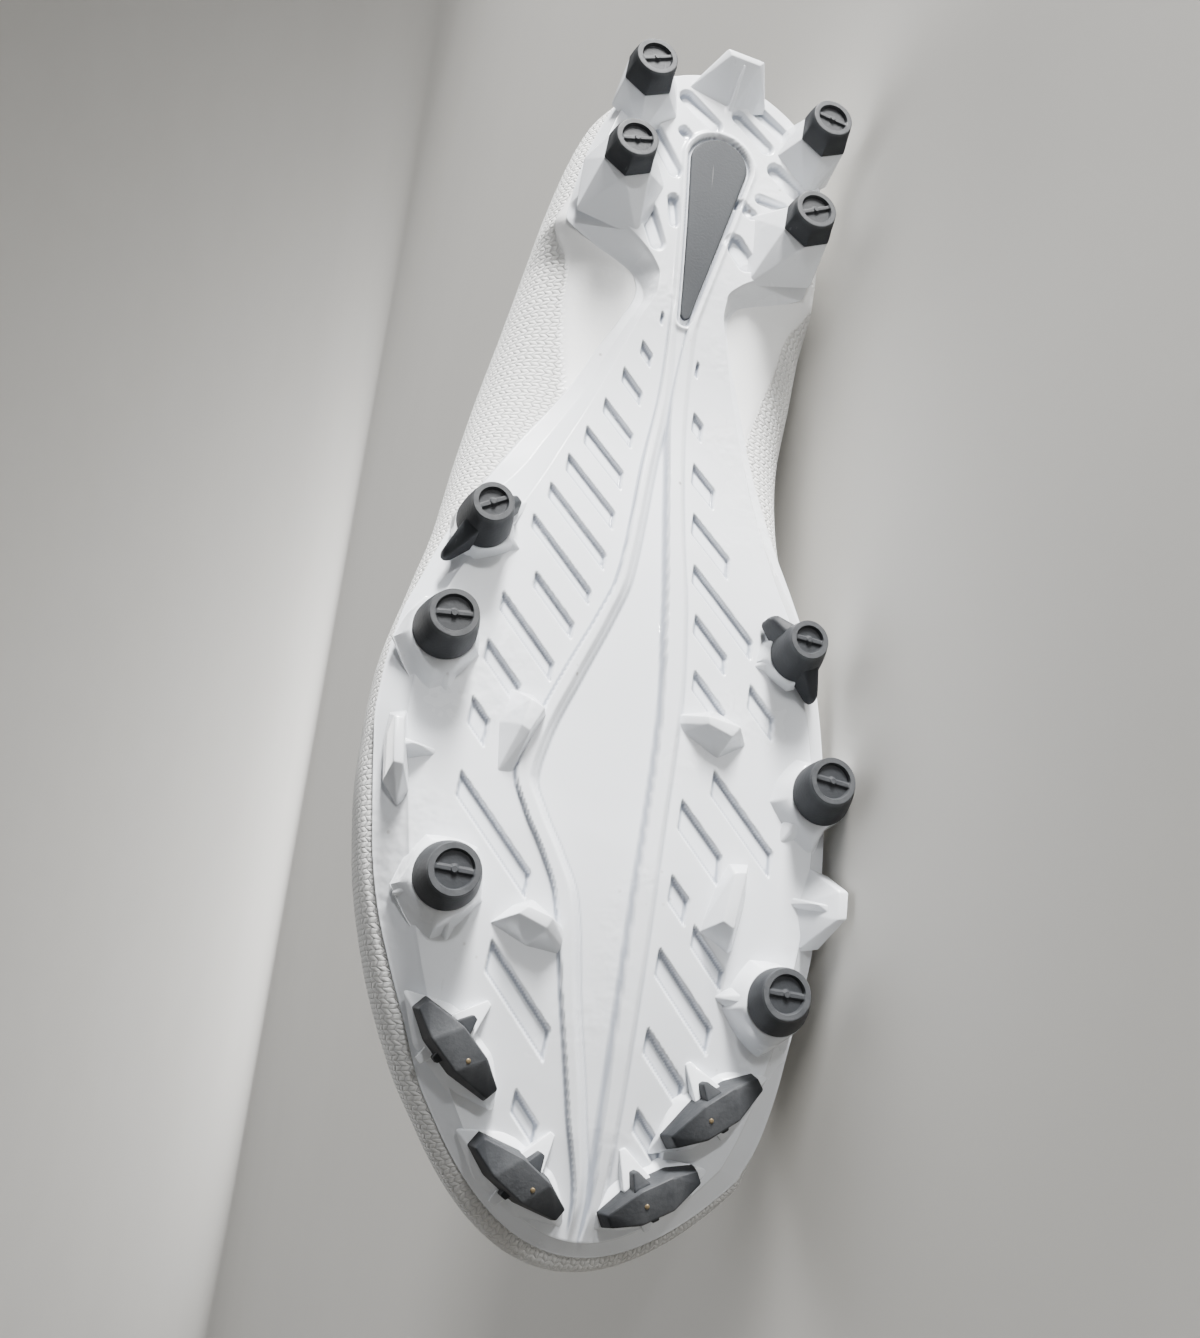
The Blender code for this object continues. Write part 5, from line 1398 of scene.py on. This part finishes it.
def ridges(group, value, per_unit, sharpness):
    """Rounded ridges across a value; a sharpness under one makes them flat-topped."""
    wave = maths(group, "ABSOLUTE", maths(group, "SINE", times(group, value, per_unit)))
    return maths(group, "POWER", wave, sharpness)


def basket_group():
    """Rows of small V-shaped knit lumps: their height, and a mask of painted shade in the gaps between
    them.
    """
    name = "knit_lumps"
    if name in bpy.data.node_groups:
        return bpy.data.node_groups[name]
    inputs = [("Place", "NodeSocketVector"), ("Pitch", "NodeSocketFloat")]
    group, given, wanted = effect_group(name, inputs, ("Height", "PaintedGapShade"))
    split = add(group, "ShaderNodeSeparateXYZ", {"Vector": given["Place"]})
    waver = maths(group, "SUBTRACT", noise(group, given["Place"], 500.0, 1.0), 0.5)
    wobble = times(group, waver, 0.0005)
    u, v = (
        maths(group, "DIVIDE", plus(group, split.outputs[axis], wobble), given["Pitch"]) for axis in "XY"
    )
    rows = plus(group, v, times(group, maths(group, "PINGPONG", u, 0.5), 0.9))
    across = ridges(group, rows, math.pi, 0.55)
    along = ridges(group, u, 2 * math.pi, 0.40)
    height = times(group, across, plus(group, times(group, along, 0.75), 0.25))
    group.links.new(height, wanted["Height"])
    # Painted shade: the mask is 1 in the low gaps between the lumps
    group.links.new(ramp_between(group, height, 0.42, 0.10), wanted["PaintedGapShade"])
    return group


def new_finish(name, color, roughness):
    """Material with its Principled shader's own constants set."""
    material = bpy.data.materials.new(name)
    material.use_nodes = True
    tree = material.node_tree
    shader = tree.nodes["Principled BSDF"]
    shader.inputs["Base Color"].default_value = (*color, 1.0)
    shader.inputs["Roughness"].default_value = roughness
    material.diffuse_color = (*color, 1.0)
    return material, tree, shader.inputs, object_place(tree)


def effects(tree, group, values):
    return add(tree, "ShaderNodeGroup", values, node_tree=group).outputs


def plate_finish():
    """Glossy bluish-white moulded plastic with painted bluish shade in its slots and painted dark shade at
    the feet of its walls and along its field's edges, with specks, smudges and scuffs.
    """
    material, tree, shader, where = new_finish("plate_gloss", (0.76, 0.79, 0.84), 0.22)
    dirt = effects(tree, specks_group(), {"Place": where})
    tone = mix_colors(tree, noise(tree, where, 14.0, 3.0), (0.735, 0.765, 0.815), (0.80, 0.82, 0.85))
    # Painted shade: the slots' floors turned bluish grey by their depth
    tone = tinted(tree, tone, value_of(tree, "sunk"), 0.35, (0.62, 0.67, 0.76))
    # Painted shade: dark blue-grey at the feet of steep walls in the relief and along the field's edges
    painted_groove_shade = ramp_between(tree, value_of(tree, "painted_groove_shade"), 0.05, 0.9)
    tone = tinted(tree, tone, painted_groove_shade, 0.68, (0.17, 0.20, 0.27))
    tone = tinted(tree, tone, dirt["Smudge"], 0.16, (0.60, 0.58, 0.55))
    tone = tinted(tree, tone, dirt["Specks"], 0.7, (0.22, 0.20, 0.18))
    tone = tinted(tree, tone, dirt["Scuffs"], 0.35, (0.42, 0.43, 0.45))
    tree.links.new(tone, shader["Base Color"])
    rough = plus(tree, times(tree, dirt["Smudge"], 0.16), 0.24)
    rough = plus(tree, rough, times(tree, dirt["Scuffs"], 0.25), clamp=True)
    tree.links.new(rough, shader["Roughness"])
    ripple = ramp_between(tree, noise(tree, where, 24.0, 2.0), 0.52, 0.66, 0.3, 4.0)
    height = times(tree, noise(tree, where, 420.0, 1.0), ripple)
    height = plus(tree, height, times(tree, noise(tree, where, 60.0, 2.0), 3.0))
    tree.links.new(bump(tree, height, 0.14, 0.0005), shader["Normal"])
    shader["Coat Weight"].default_value = 0.5
    shader["Coat Roughness"].default_value = 0.05
    return material


def tip_finish():
    """Satin dark grey moulded plastic, paler where its rims are worn, with scuffs."""
    material, tree, shader, where = new_finish("tip_grey", (0.03, 0.032, 0.036), 0.38)
    dirt = effects(tree, specks_group(), {"Place": where})
    tone = mix_colors(tree, noise(tree, where, 40.0, 3.0), (0.014, 0.016, 0.019), (0.024, 0.026, 0.030))
    rubbed = ramp_between(tree, noise(tree, where, 300.0, 4.0, 0.7), 0.25, 0.65, 0.45, 1.0)
    worn = times(tree, value_of(tree, "worn"), rubbed)
    tone = tinted(tree, tone, worn, 0.8, (0.065, 0.068, 0.073))
    tone = tinted(tree, tone, dirt["Scuffs"], 0.5, (0.10, 0.10, 0.105))
    tone = tinted(tree, tone, dirt["Smudge"], 0.25, (0.045, 0.042, 0.038))
    tree.links.new(tone, shader["Base Color"])
    rough = plus(tree, times(tree, noise(tree, where, 120.0, 3.0), 0.20), 0.52)
    tree.links.new(rough, shader["Roughness"])
    height = plus(tree, noise(tree, where, 1400.0, 2.0), times(tree, dirt["Scuffs"], -0.6))
    tree.links.new(bump(tree, height, 0.18, 0.0003), shader["Normal"])
    shader["Specular IOR Level"].default_value = 0.3
    return material


def inset_finish():
    """Satin grey plastic of the heel inset, with a fine grain."""
    material, tree, shader, where = new_finish("inset_satin", (0.04, 0.043, 0.047), 0.72)
    dirt = effects(tree, specks_group(), {"Place": where})
    tone = mix_colors(tree, noise(tree, where, 90.0, 3.0), (0.032, 0.035, 0.040), (0.042, 0.046, 0.051))
    tone = tinted(tree, tone, dirt["Scuffs"], 0.5, (0.22, 0.22, 0.22))
    tree.links.new(tone, shader["Base Color"])
    tree.links.new(bump(tree, noise(tree, where, 1600.0, 2.0), 0.22, 0.0003), shader["Normal"])
    shader["Specular IOR Level"].default_value = 0.25
    return material


def knit_finish():
    """White knit of small lumps with painted shade in the gaps between them, smooth under the film, plain
    inside, brownish at the toe.
    """
    material, tree, shader, where = new_finish("knit_white", (0.74, 0.74, 0.73), 0.75)
    uv = add(tree, "ShaderNodeUVMap", uv_map="knit").outputs["UV"]
    knit = effects(tree, basket_group(), {"Place": uv, "Pitch": 0.0021})
    dirt = effects(tree, specks_group(), {"Place": where})
    film, along = value_of(tree, "film"), value_of(tree, "along")
    bare = maths(tree, "SUBTRACT", 1.0, film, clamp=True)
    smooth_toe = times(tree, ramp_between(tree, along, 0.280, 0.292), 0.7)
    open_knit = times(tree, bare, maths(tree, "SUBTRACT", 1.0, smooth_toe))
    painted_gap_shade = times(tree, knit["PaintedGapShade"], open_knit)
    tone = mix_colors(tree, noise(tree, where, 30.0, 4.0), (0.80, 0.80, 0.79), (0.86, 0.86, 0.85))
    # Painted shade in the gaps between the knit lumps
    tone = tinted(tree, tone, painted_gap_shade, 0.55, (0.50, 0.505, 0.52))
    tone = tinted(tree, tone, film, 0.7, (0.83, 0.84, 0.85))
    patches = ramp_between(tree, noise(tree, where, 45.0, 5.0, 0.7), 0.35, 0.7)
    soil = times(tree, ramp_between(tree, along, 0.262, 0.292), patches)
    tone = tinted(tree, tone, soil, 0.4, (0.42, 0.37, 0.31))
    tone = tinted(tree, tone, dirt["Specks"], 0.5, (0.30, 0.28, 0.25))
    tone = tinted(tree, tone, value_of(tree, "inside"), 0.6, (0.52, 0.53, 0.55))
    tree.links.new(tone, shader["Base Color"])
    tree.links.new(ramp_between(tree, film, 0.0, 1.0, 0.82, 0.38), shader["Roughness"])
    strands = {"Vector": uv, "Scale": 1500.0, "Distortion": 3.0, "Detail": 2.0}
    threads = times(tree, add(tree, "ShaderNodeTexWave", strands).outputs["Fac"], open_knit)
    height = plus(tree, times(tree, knit["Height"], open_knit), times(tree, threads, 0.12))
    height = plus(tree, height, times(tree, noise(tree, where, 700.0, 2.0), 0.06))
    tree.links.new(bump(tree, height, 0.8, 0.0010), shader["Normal"])
    return material


def padding_finish():
    """Padded white knit of the tongue: small lumps with painted shade in the gaps between them."""
    material, tree, shader, where = new_finish("padding_knit", (0.70, 0.70, 0.69), 0.85)
    knit = effects(tree, basket_group(), {"Place": where, "Pitch": 0.0014})
    tone = mix_colors(tree, noise(tree, where, 50.0, 4.0), (0.66, 0.66, 0.65), (0.76, 0.76, 0.75))
    # Painted shade in the gaps between the lumps
    tone = tinted(tree, tone, knit["PaintedGapShade"], 0.45, (0.34, 0.34, 0.36))
    tree.links.new(tone, shader["Base Color"])
    tree.links.new(bump(tree, knit["Height"], 0.6, 0.0005), shader["Normal"])
    shader["Sheen Weight"].default_value = 0.25
    return material


def footbed_finish():
    """Brushed light grey fabric of the insole."""
    material, tree, shader, where = new_finish("footbed_fabric", (0.55, 0.55, 0.56), 0.9)
    tone = mix_colors(tree, noise(tree, where, 400.0, 5.0, 0.7), (0.46, 0.46, 0.47), (0.63, 0.63, 0.64))
    tree.links.new(tone, shader["Base Color"])
    tree.links.new(bump(tree, noise(tree, where, 1800.0, 4.0, 0.7), 0.5, 0.0004), shader["Normal"])
    shader["Sheen Weight"].default_value = 0.4
    return material


def lace_finish():
    """Flat woven white lace with a herringbone bump and painted shade in the gaps between its lumps."""
    material, tree, shader, where = new_finish("lace_weave", (0.76, 0.76, 0.75), 0.8)
    knit = effects(tree, basket_group(), {"Place": where, "Pitch": 0.0010})
    # Painted shade in the gaps between the woven lumps
    painted_gap_shade = times(tree, knit["PaintedGapShade"], 0.5)
    tree.links.new(mix_colors(tree, painted_gap_shade, (0.78, 0.78, 0.77), (0.42, 0.42, 0.44)), shader["Base Color"])
    tree.links.new(bump(tree, knit["Height"], 0.6, 0.0003), shader["Normal"])
    return material


def binding_finish():
    """Smooth white film of the eyelet rings."""
    material, tree, shader, where = new_finish("binding_film", (0.76, 0.77, 0.79), 0.35)
    tone = mix_colors(tree, noise(tree, where, 120.0, 3.0), (0.72, 0.73, 0.75), (0.79, 0.80, 0.81))
    tree.links.new(tone, shader["Base Color"])
    tree.links.new(bump(tree, noise(tree, where, 900.0, 2.0), 0.2, 0.0003), shader["Normal"])
    return material


def brass_finish():
    """Small brass-coloured pin."""
    material, tree, shader, where = new_finish("pin_brass", (0.25, 0.19, 0.11), 0.4)
    tone = mix_colors(tree, noise(tree, where, 900.0, 3.0), (0.16, 0.12, 0.07), (0.30, 0.23, 0.13))
    tree.links.new(tone, shader["Base Color"])
    shader["Metallic"].default_value = 0.6
    return material


def floor_finish():
    """Pale warm grey studio floor."""
    material, tree, shader, where = new_finish("studio_floor", (0.74, 0.72, 0.70), 0.8)
    tone = mix_colors(tree, noise(tree, where, 6.0, 4.0), (0.50, 0.49, 0.465), (0.53, 0.52, 0.495))
    tree.links.new(tone, shader["Base Color"])
    return material


FINISHES = {
    "plate": plate_finish, "tips": tip_finish, "inset": inset_finish, "knit": knit_finish,
    "padding": padding_finish, "footbed": footbed_finish, "lace": lace_finish,
    "binding": binding_finish, "pin": brass_finish, "floor": floor_finish,
}
MADE = {}


def finish_of(name):
    """Material by its slot's name, made the first time it is asked for."""
    if name not in MADE:
        MADE[name] = FINISHES[name]()
    return MADE[name]


# The shoe's sizes for the panel

class CleatSettings(bpy.types.PropertyGroup):
    """Sizes that the pieces are built from."""

    plate_columns: bpy.props.IntProperty(
        name="Plate columns", description="Grid columns across the plate's relief", default=200, min=40
    )
    plate_step: bpy.props.FloatProperty(
        name="Plate step", description="Distance between the rows of the plate's relief",
        default=0.0004, unit="LENGTH", precision=5,
    )
    rail_height: bpy.props.FloatProperty(
        name="Rail height", description="How far the two rails stand out of the plate",
        default=0.0014, unit="LENGTH", precision=5,
    )
    rail_flank: bpy.props.FloatProperty(
        name="Rail flank", description="Width of the soft flank of a rail",
        default=0.0011, unit="LENGTH", precision=5,
    )
    field_depth: bpy.props.FloatProperty(
        name="Field depth", description="Depth of the smooth field between the rails",
        default=0.0009, unit="LENGTH", precision=5,
    )
    slot_depth: bpy.props.FloatProperty(
        name="Slot depth", description="Depth of the slanted slots",
        default=0.0015, unit="LENGTH", precision=5,
    )
    upper_around: bpy.props.IntProperty(
        name="Upper stations", description="Grid columns round the upper's sides", default=400, min=80
    )


# Operators

# Share of the way along the plate where its rear and fore halves meet
PLATE_CUT = 0.48


class AddPlate(bpy.types.Operator):
    """Adds the plate's rear and fore halves with their relief, in place of the plain plate"""

    bl_idname = "cleat.add_plate"
    bl_label = "Add plate"

    def execute(self, context):
        add_piece("plate_rear", plate_piece("plate_rear", 0.0, PLATE_CUT, True), "plate", ["outsole"])
        add_piece("plate_fore", plate_piece("plate_fore", PLATE_CUT, 1.0, False), "plate", ["outsole"])
        return {"FINISHED"}


class AddFeet(bpy.types.Operator):
    """Adds the white feet of the round studs, the white lugs and the seats of the toe blades"""

    bl_idname = "cleat.add_feet"
    bl_label = "Add feet, lugs and seats"

    def execute(self, context):
        feet = [foot_shape(stud) for stud in STUDS if stud[0] in STUD_FEET]
        for stud in STUDS:
            feet += [heel_foot_shape(stud, foot[1]) for foot in HEEL_FEET if foot[0] == stud[0]]
        for stud in STUDS:
            feet += [arm_shape(stud, *arm[1:]) for arm in FOOT_ARMS if arm[0] == stud[0]]
        lugs = [lug_shape(lug) for lug in LUGS]
        seats = [shape for blade in BLADES for shape in seat_shapes(blade)]
        for name, shapes in (("stud_feet", feet), ("plate_lugs", lugs), ("blade_seats", seats)):
            add_piece(name, join_meshes(name, shapes, 32), "plate", ["outsole"])
        return {"FINISHED"}


class AddTips(bpy.types.Operator):
    """Adds the ten grey round tips, two of them with fins"""

    bl_idname = "cleat.add_tips"
    bl_label = "Add round tips"

    def execute(self, context):
        for stud in STUDS:
            name = stud[0] + "_dressed"
            shape, worn = tip_shape(stud)
            fins = [fin_shape(fin, *stud_axis(stud)) for fin in FINS if fin[0] == stud[0]]
            mesh = join_meshes(name, [shape] + fins, 50)
            add_values(mesh, "worn", np.pad(worn, (0, len(mesh.vertices) - len(worn))))
            add_piece(name, mesh, "tips", [stud[0]])
        return {"FINISHED"}


class AddBlades(bpy.types.Operator):
    """Adds the four grey toe blades with their side nubs and pins"""

    bl_idname = "cleat.add_blades"
    bl_label = "Add toe blades"

    def execute(self, context):
        for blade in BLADES:
            name = blade[0] + "_dressed"
            points, quads, polygons = join_parts(blade_shapes(blade))
            mesh = make_mesh(name, points, quads, polygons, 30)
            above = (base(points[:, 0] / AT_UNIT) - points[:, 2]) / BLADE_HEIGHT
            add_values(mesh, "worn", soft((above - 0.86) / 0.08))
            add_piece(name, mesh, "tips", [blade[0]])
            pin = blade[0] + "_pin"
            add_piece(pin, make_mesh(pin, *pin_shape(blade)), "tips", finish="pin")
        return {"FINISHED"}


class AddInset(bpy.types.Operator):
    """Adds the grey drop that is let into the heel"""

    bl_idname = "cleat.add_inset"
    bl_label = "Add heel inset"

    def execute(self, context):
        add_piece("heel_drop", make_mesh("heel_drop", *inset_shape(), sharp=50), "inset", ["heel_inset"])
        return {"FINISHED"}


class AddUpper(bpy.types.Operator):
    """Adds the hollow knitted upper with its rear film"""

    bl_idname = "cleat.add_upper"
    bl_label = "Add upper"

    def execute(self, context):
        add_piece("knit_upper", upper_mesh(), "knit", ["upper"])
        return {"FINISHED"}


class AddTongue(bpy.types.Operator):
    """Adds the padded tongue"""

    bl_idname = "cleat.add_tongue"
    bl_label = "Add tongue"

    def execute(self, context):
        add_piece("padded_tongue", tongue_mesh(), "padding", ["tongue"])
        return {"FINISHED"}


class AddInsole(bpy.types.Operator):
    """Adds the footbed"""

    bl_idname = "cleat.add_insole"
    bl_label = "Add insole"

    def execute(self, context):
        add_piece("footbed", insole_mesh(), "footbed", ["insole"])
        return {"FINISHED"}


class AddLaces(bpy.types.Operator):
    """Adds the flat laces and the rings of their eyelets"""

    bl_idname = "cleat.add_laces"
    bl_label = "Add laces"

    def execute(self, context):
        add_piece("laces", lace_mesh(), "lace", ["lacing"])
        add_piece("eyelets", eyelet_mesh(), "knit", finish="binding")
        return {"FINISHED"}


class AddStage(bpy.types.Operator):
    """Adds the studio floor with its sweep, the soft lights and the camera"""

    bl_idname = "cleat.add_stage"
    bl_label = "Add stage and camera"

    def execute(self, context):
        add_floor()
        add_lights()
        add_camera()
        return {"FINISHED"}


PIECES = (
    AddPlate, AddFeet, AddTips, AddBlades, AddInset, AddUpper, AddTongue, AddInsole, AddLaces, AddStage,
)


# Round floor in metres: end of its flat, radius of its sweep, and its top edge
FLOOR_FLAT = 1.9
FLOOR_SWEEP = 3.4
FLOOR_TOP = 4.4
FLOOR_SIDES = 96


def add_floor():
    """Round floor that sweeps up in one curve on every side: its profile turned round the Z axis."""
    turn = np.linspace(0, math.pi / 2, 20)
    reach = np.concatenate([[1.2], FLOOR_FLAT + FLOOR_SWEEP * np.sin(turn), [FLOOR_FLAT + FLOOR_SWEEP]])
    height = np.concatenate([[0.0], FLOOR_SWEEP * (1 - np.cos(turn)), [FLOOR_TOP]])
    plan = ring_of(1.0, full_turn(FLOOR_SIDES)) * reach[:, None, None]
    level = np.broadcast_to(height[:, None, None], (*plan.shape[:2], 1))
    points = np.concatenate([plan, level], axis=-1).reshape(-1, 3)
    quads = grid_quads(len(reach), FLOOR_SIDES, closed_columns=True)[:, ::-1]
    mesh = bpy.data.meshes.new("studio_floor")
    mesh.from_pydata(points.tolist(), [], quads.tolist() + [list(range(FLOOR_SIDES))])
    mesh.shade_smooth()
    floor = bpy.data.objects.new("studio_floor", mesh)
    bpy.context.scene.collection.objects.link(floor)
    mesh.materials.append(finish_of("floor"))


def add_light(name, place_m, aim, size, power, color=(1.0, 1.0, 1.0)):
    data = bpy.data.lights.new(name, "AREA")
    data.shape = "RECTANGLE"
    data.size, data.size_y = size
    data.energy = power
    data.color = color
    light = bpy.data.objects.new(name, data)
    bpy.context.scene.collection.objects.link(light)
    light.location = place_m
    light.rotation_euler = (Vector(aim) - Vector(place_m)).to_track_quat("-Z", "Y").to_euler()


def add_lights():
    """Soft key from the heel's side of the camera, weak fills from other sides, and light on the sweep."""
    middle = (0.0, 0.0, 0.05)
    add_light("key_light", (1.62, -0.92, 0.18), middle, (0.6, 0.30), 190.0, (1.0, 0.99, 0.97))
    add_light("glint_light", (0.62, -1.35, 0.20), middle, (0.06, 0.06), 9.0)
    add_light("fill_light", (-0.9, -1.5, 0.8), middle, (1.2, 1.2), 0.3, (0.94, 0.97, 1.0))
    add_light("top_light", (0.1, 0.2, 1.6), middle, (1.4, 1.0), 6.5)
    add_light("upper_light", (0.5, 1.7, 1.3), middle, (1.0, 0.8), 18.0)
    add_light("wall_light", (0.2, 1.6, 0.9), (0.9, 4.8, 1.2), (1.2, 1.2), 75.0)
    world = bpy.data.worlds.new("studio_world")
    world.use_nodes = True
    world.node_tree.nodes["Background"].inputs["Color"].default_value = (0.90, 0.93, 0.97, 1.0)
    world.node_tree.nodes["Background"].inputs["Strength"].default_value = 0.04
    bpy.context.scene.world = world


def add_camera():
    """Camera at the photograph's place and angle to the shoe, turned so that the one shoe is centred."""
    right, down, forward = (np.array(v, float) for v in (CAMERA_RIGHT, CAMERA_DOWN, CAMERA_FORWARD))
    dx = (SHOE_MIDDLE[0] - PHOTO_MIDDLE[0]) / PHOTO_FOCUS
    dy = (SHOE_MIDDLE[1] - PHOTO_MIDDLE[1]) / PHOTO_FOCUS
    view = forward + dx * right + dy * down
    view /= np.linalg.norm(view)
    right = right - view * right.dot(view)
    right /= np.linalg.norm(right)
    up = np.cross(right, view)
    if up.dot(down) > 0:
        raise RuntimeError("The camera's axes are mirrored")
    turn = np.stack([LAY @ right, LAY @ up, -(LAY @ view)], axis=1)
    data = bpy.data.cameras.new("photo_camera")
    data.sensor_width = 36.0
    data.lens = CAMERA_WIDEN * PHOTO_FOCUS * data.sensor_width / PHOTO_HEIGHT
    data.clip_start, data.clip_end = 0.01, 20.0
    camera = bpy.data.objects.new("photo_camera", data)
    bpy.context.scene.collection.objects.link(camera)
    matrix = Matrix(turn.tolist()).to_4x4()
    matrix.translation = laid(CAMERA_PLACE)[0].tolist()
    camera.matrix_world = matrix
    bpy.context.scene.camera = camera


class CleatPanel(bpy.types.Panel):
    """Sizes and pieces of the cleat in the 3D view's sidebar"""

    bl_idname = "VIEW3D_PT_cleat"
    bl_label = "Football cleat"
    bl_space_type = "VIEW_3D"
    bl_region_type = "UI"
    bl_category = "Cleat"

    def draw(self, context):
        settings = context.scene.cleat
        for name in settings.bl_rna.properties.keys():
            if name not in ("rna_type", "name"):
                self.layout.prop(settings, name)
        for piece in PIECES:
            self.layout.operator(piece.bl_idname)


CLASSES = (CleatSettings, *PIECES, CleatPanel)


def register():
    for cls in CLASSES:
        bpy.utils.register_class(cls)
    bpy.types.Scene.cleat = bpy.props.PointerProperty(type=CleatSettings)


def unregister():
    del bpy.types.Scene.cleat
    for cls in reversed(CLASSES):
        bpy.utils.unregister_class(cls)


def main():
    register()
    bpy.ops.cleat.add_plate()
    bpy.ops.cleat.add_feet()
    bpy.ops.cleat.add_tips()
    bpy.ops.cleat.add_blades()
    bpy.ops.cleat.add_inset()
    bpy.ops.cleat.add_upper()
    bpy.ops.cleat.add_tongue()
    bpy.ops.cleat.add_insole()
    bpy.ops.cleat.add_laces()
    bpy.ops.cleat.add_stage()


if __name__ == "__main__":
    main()
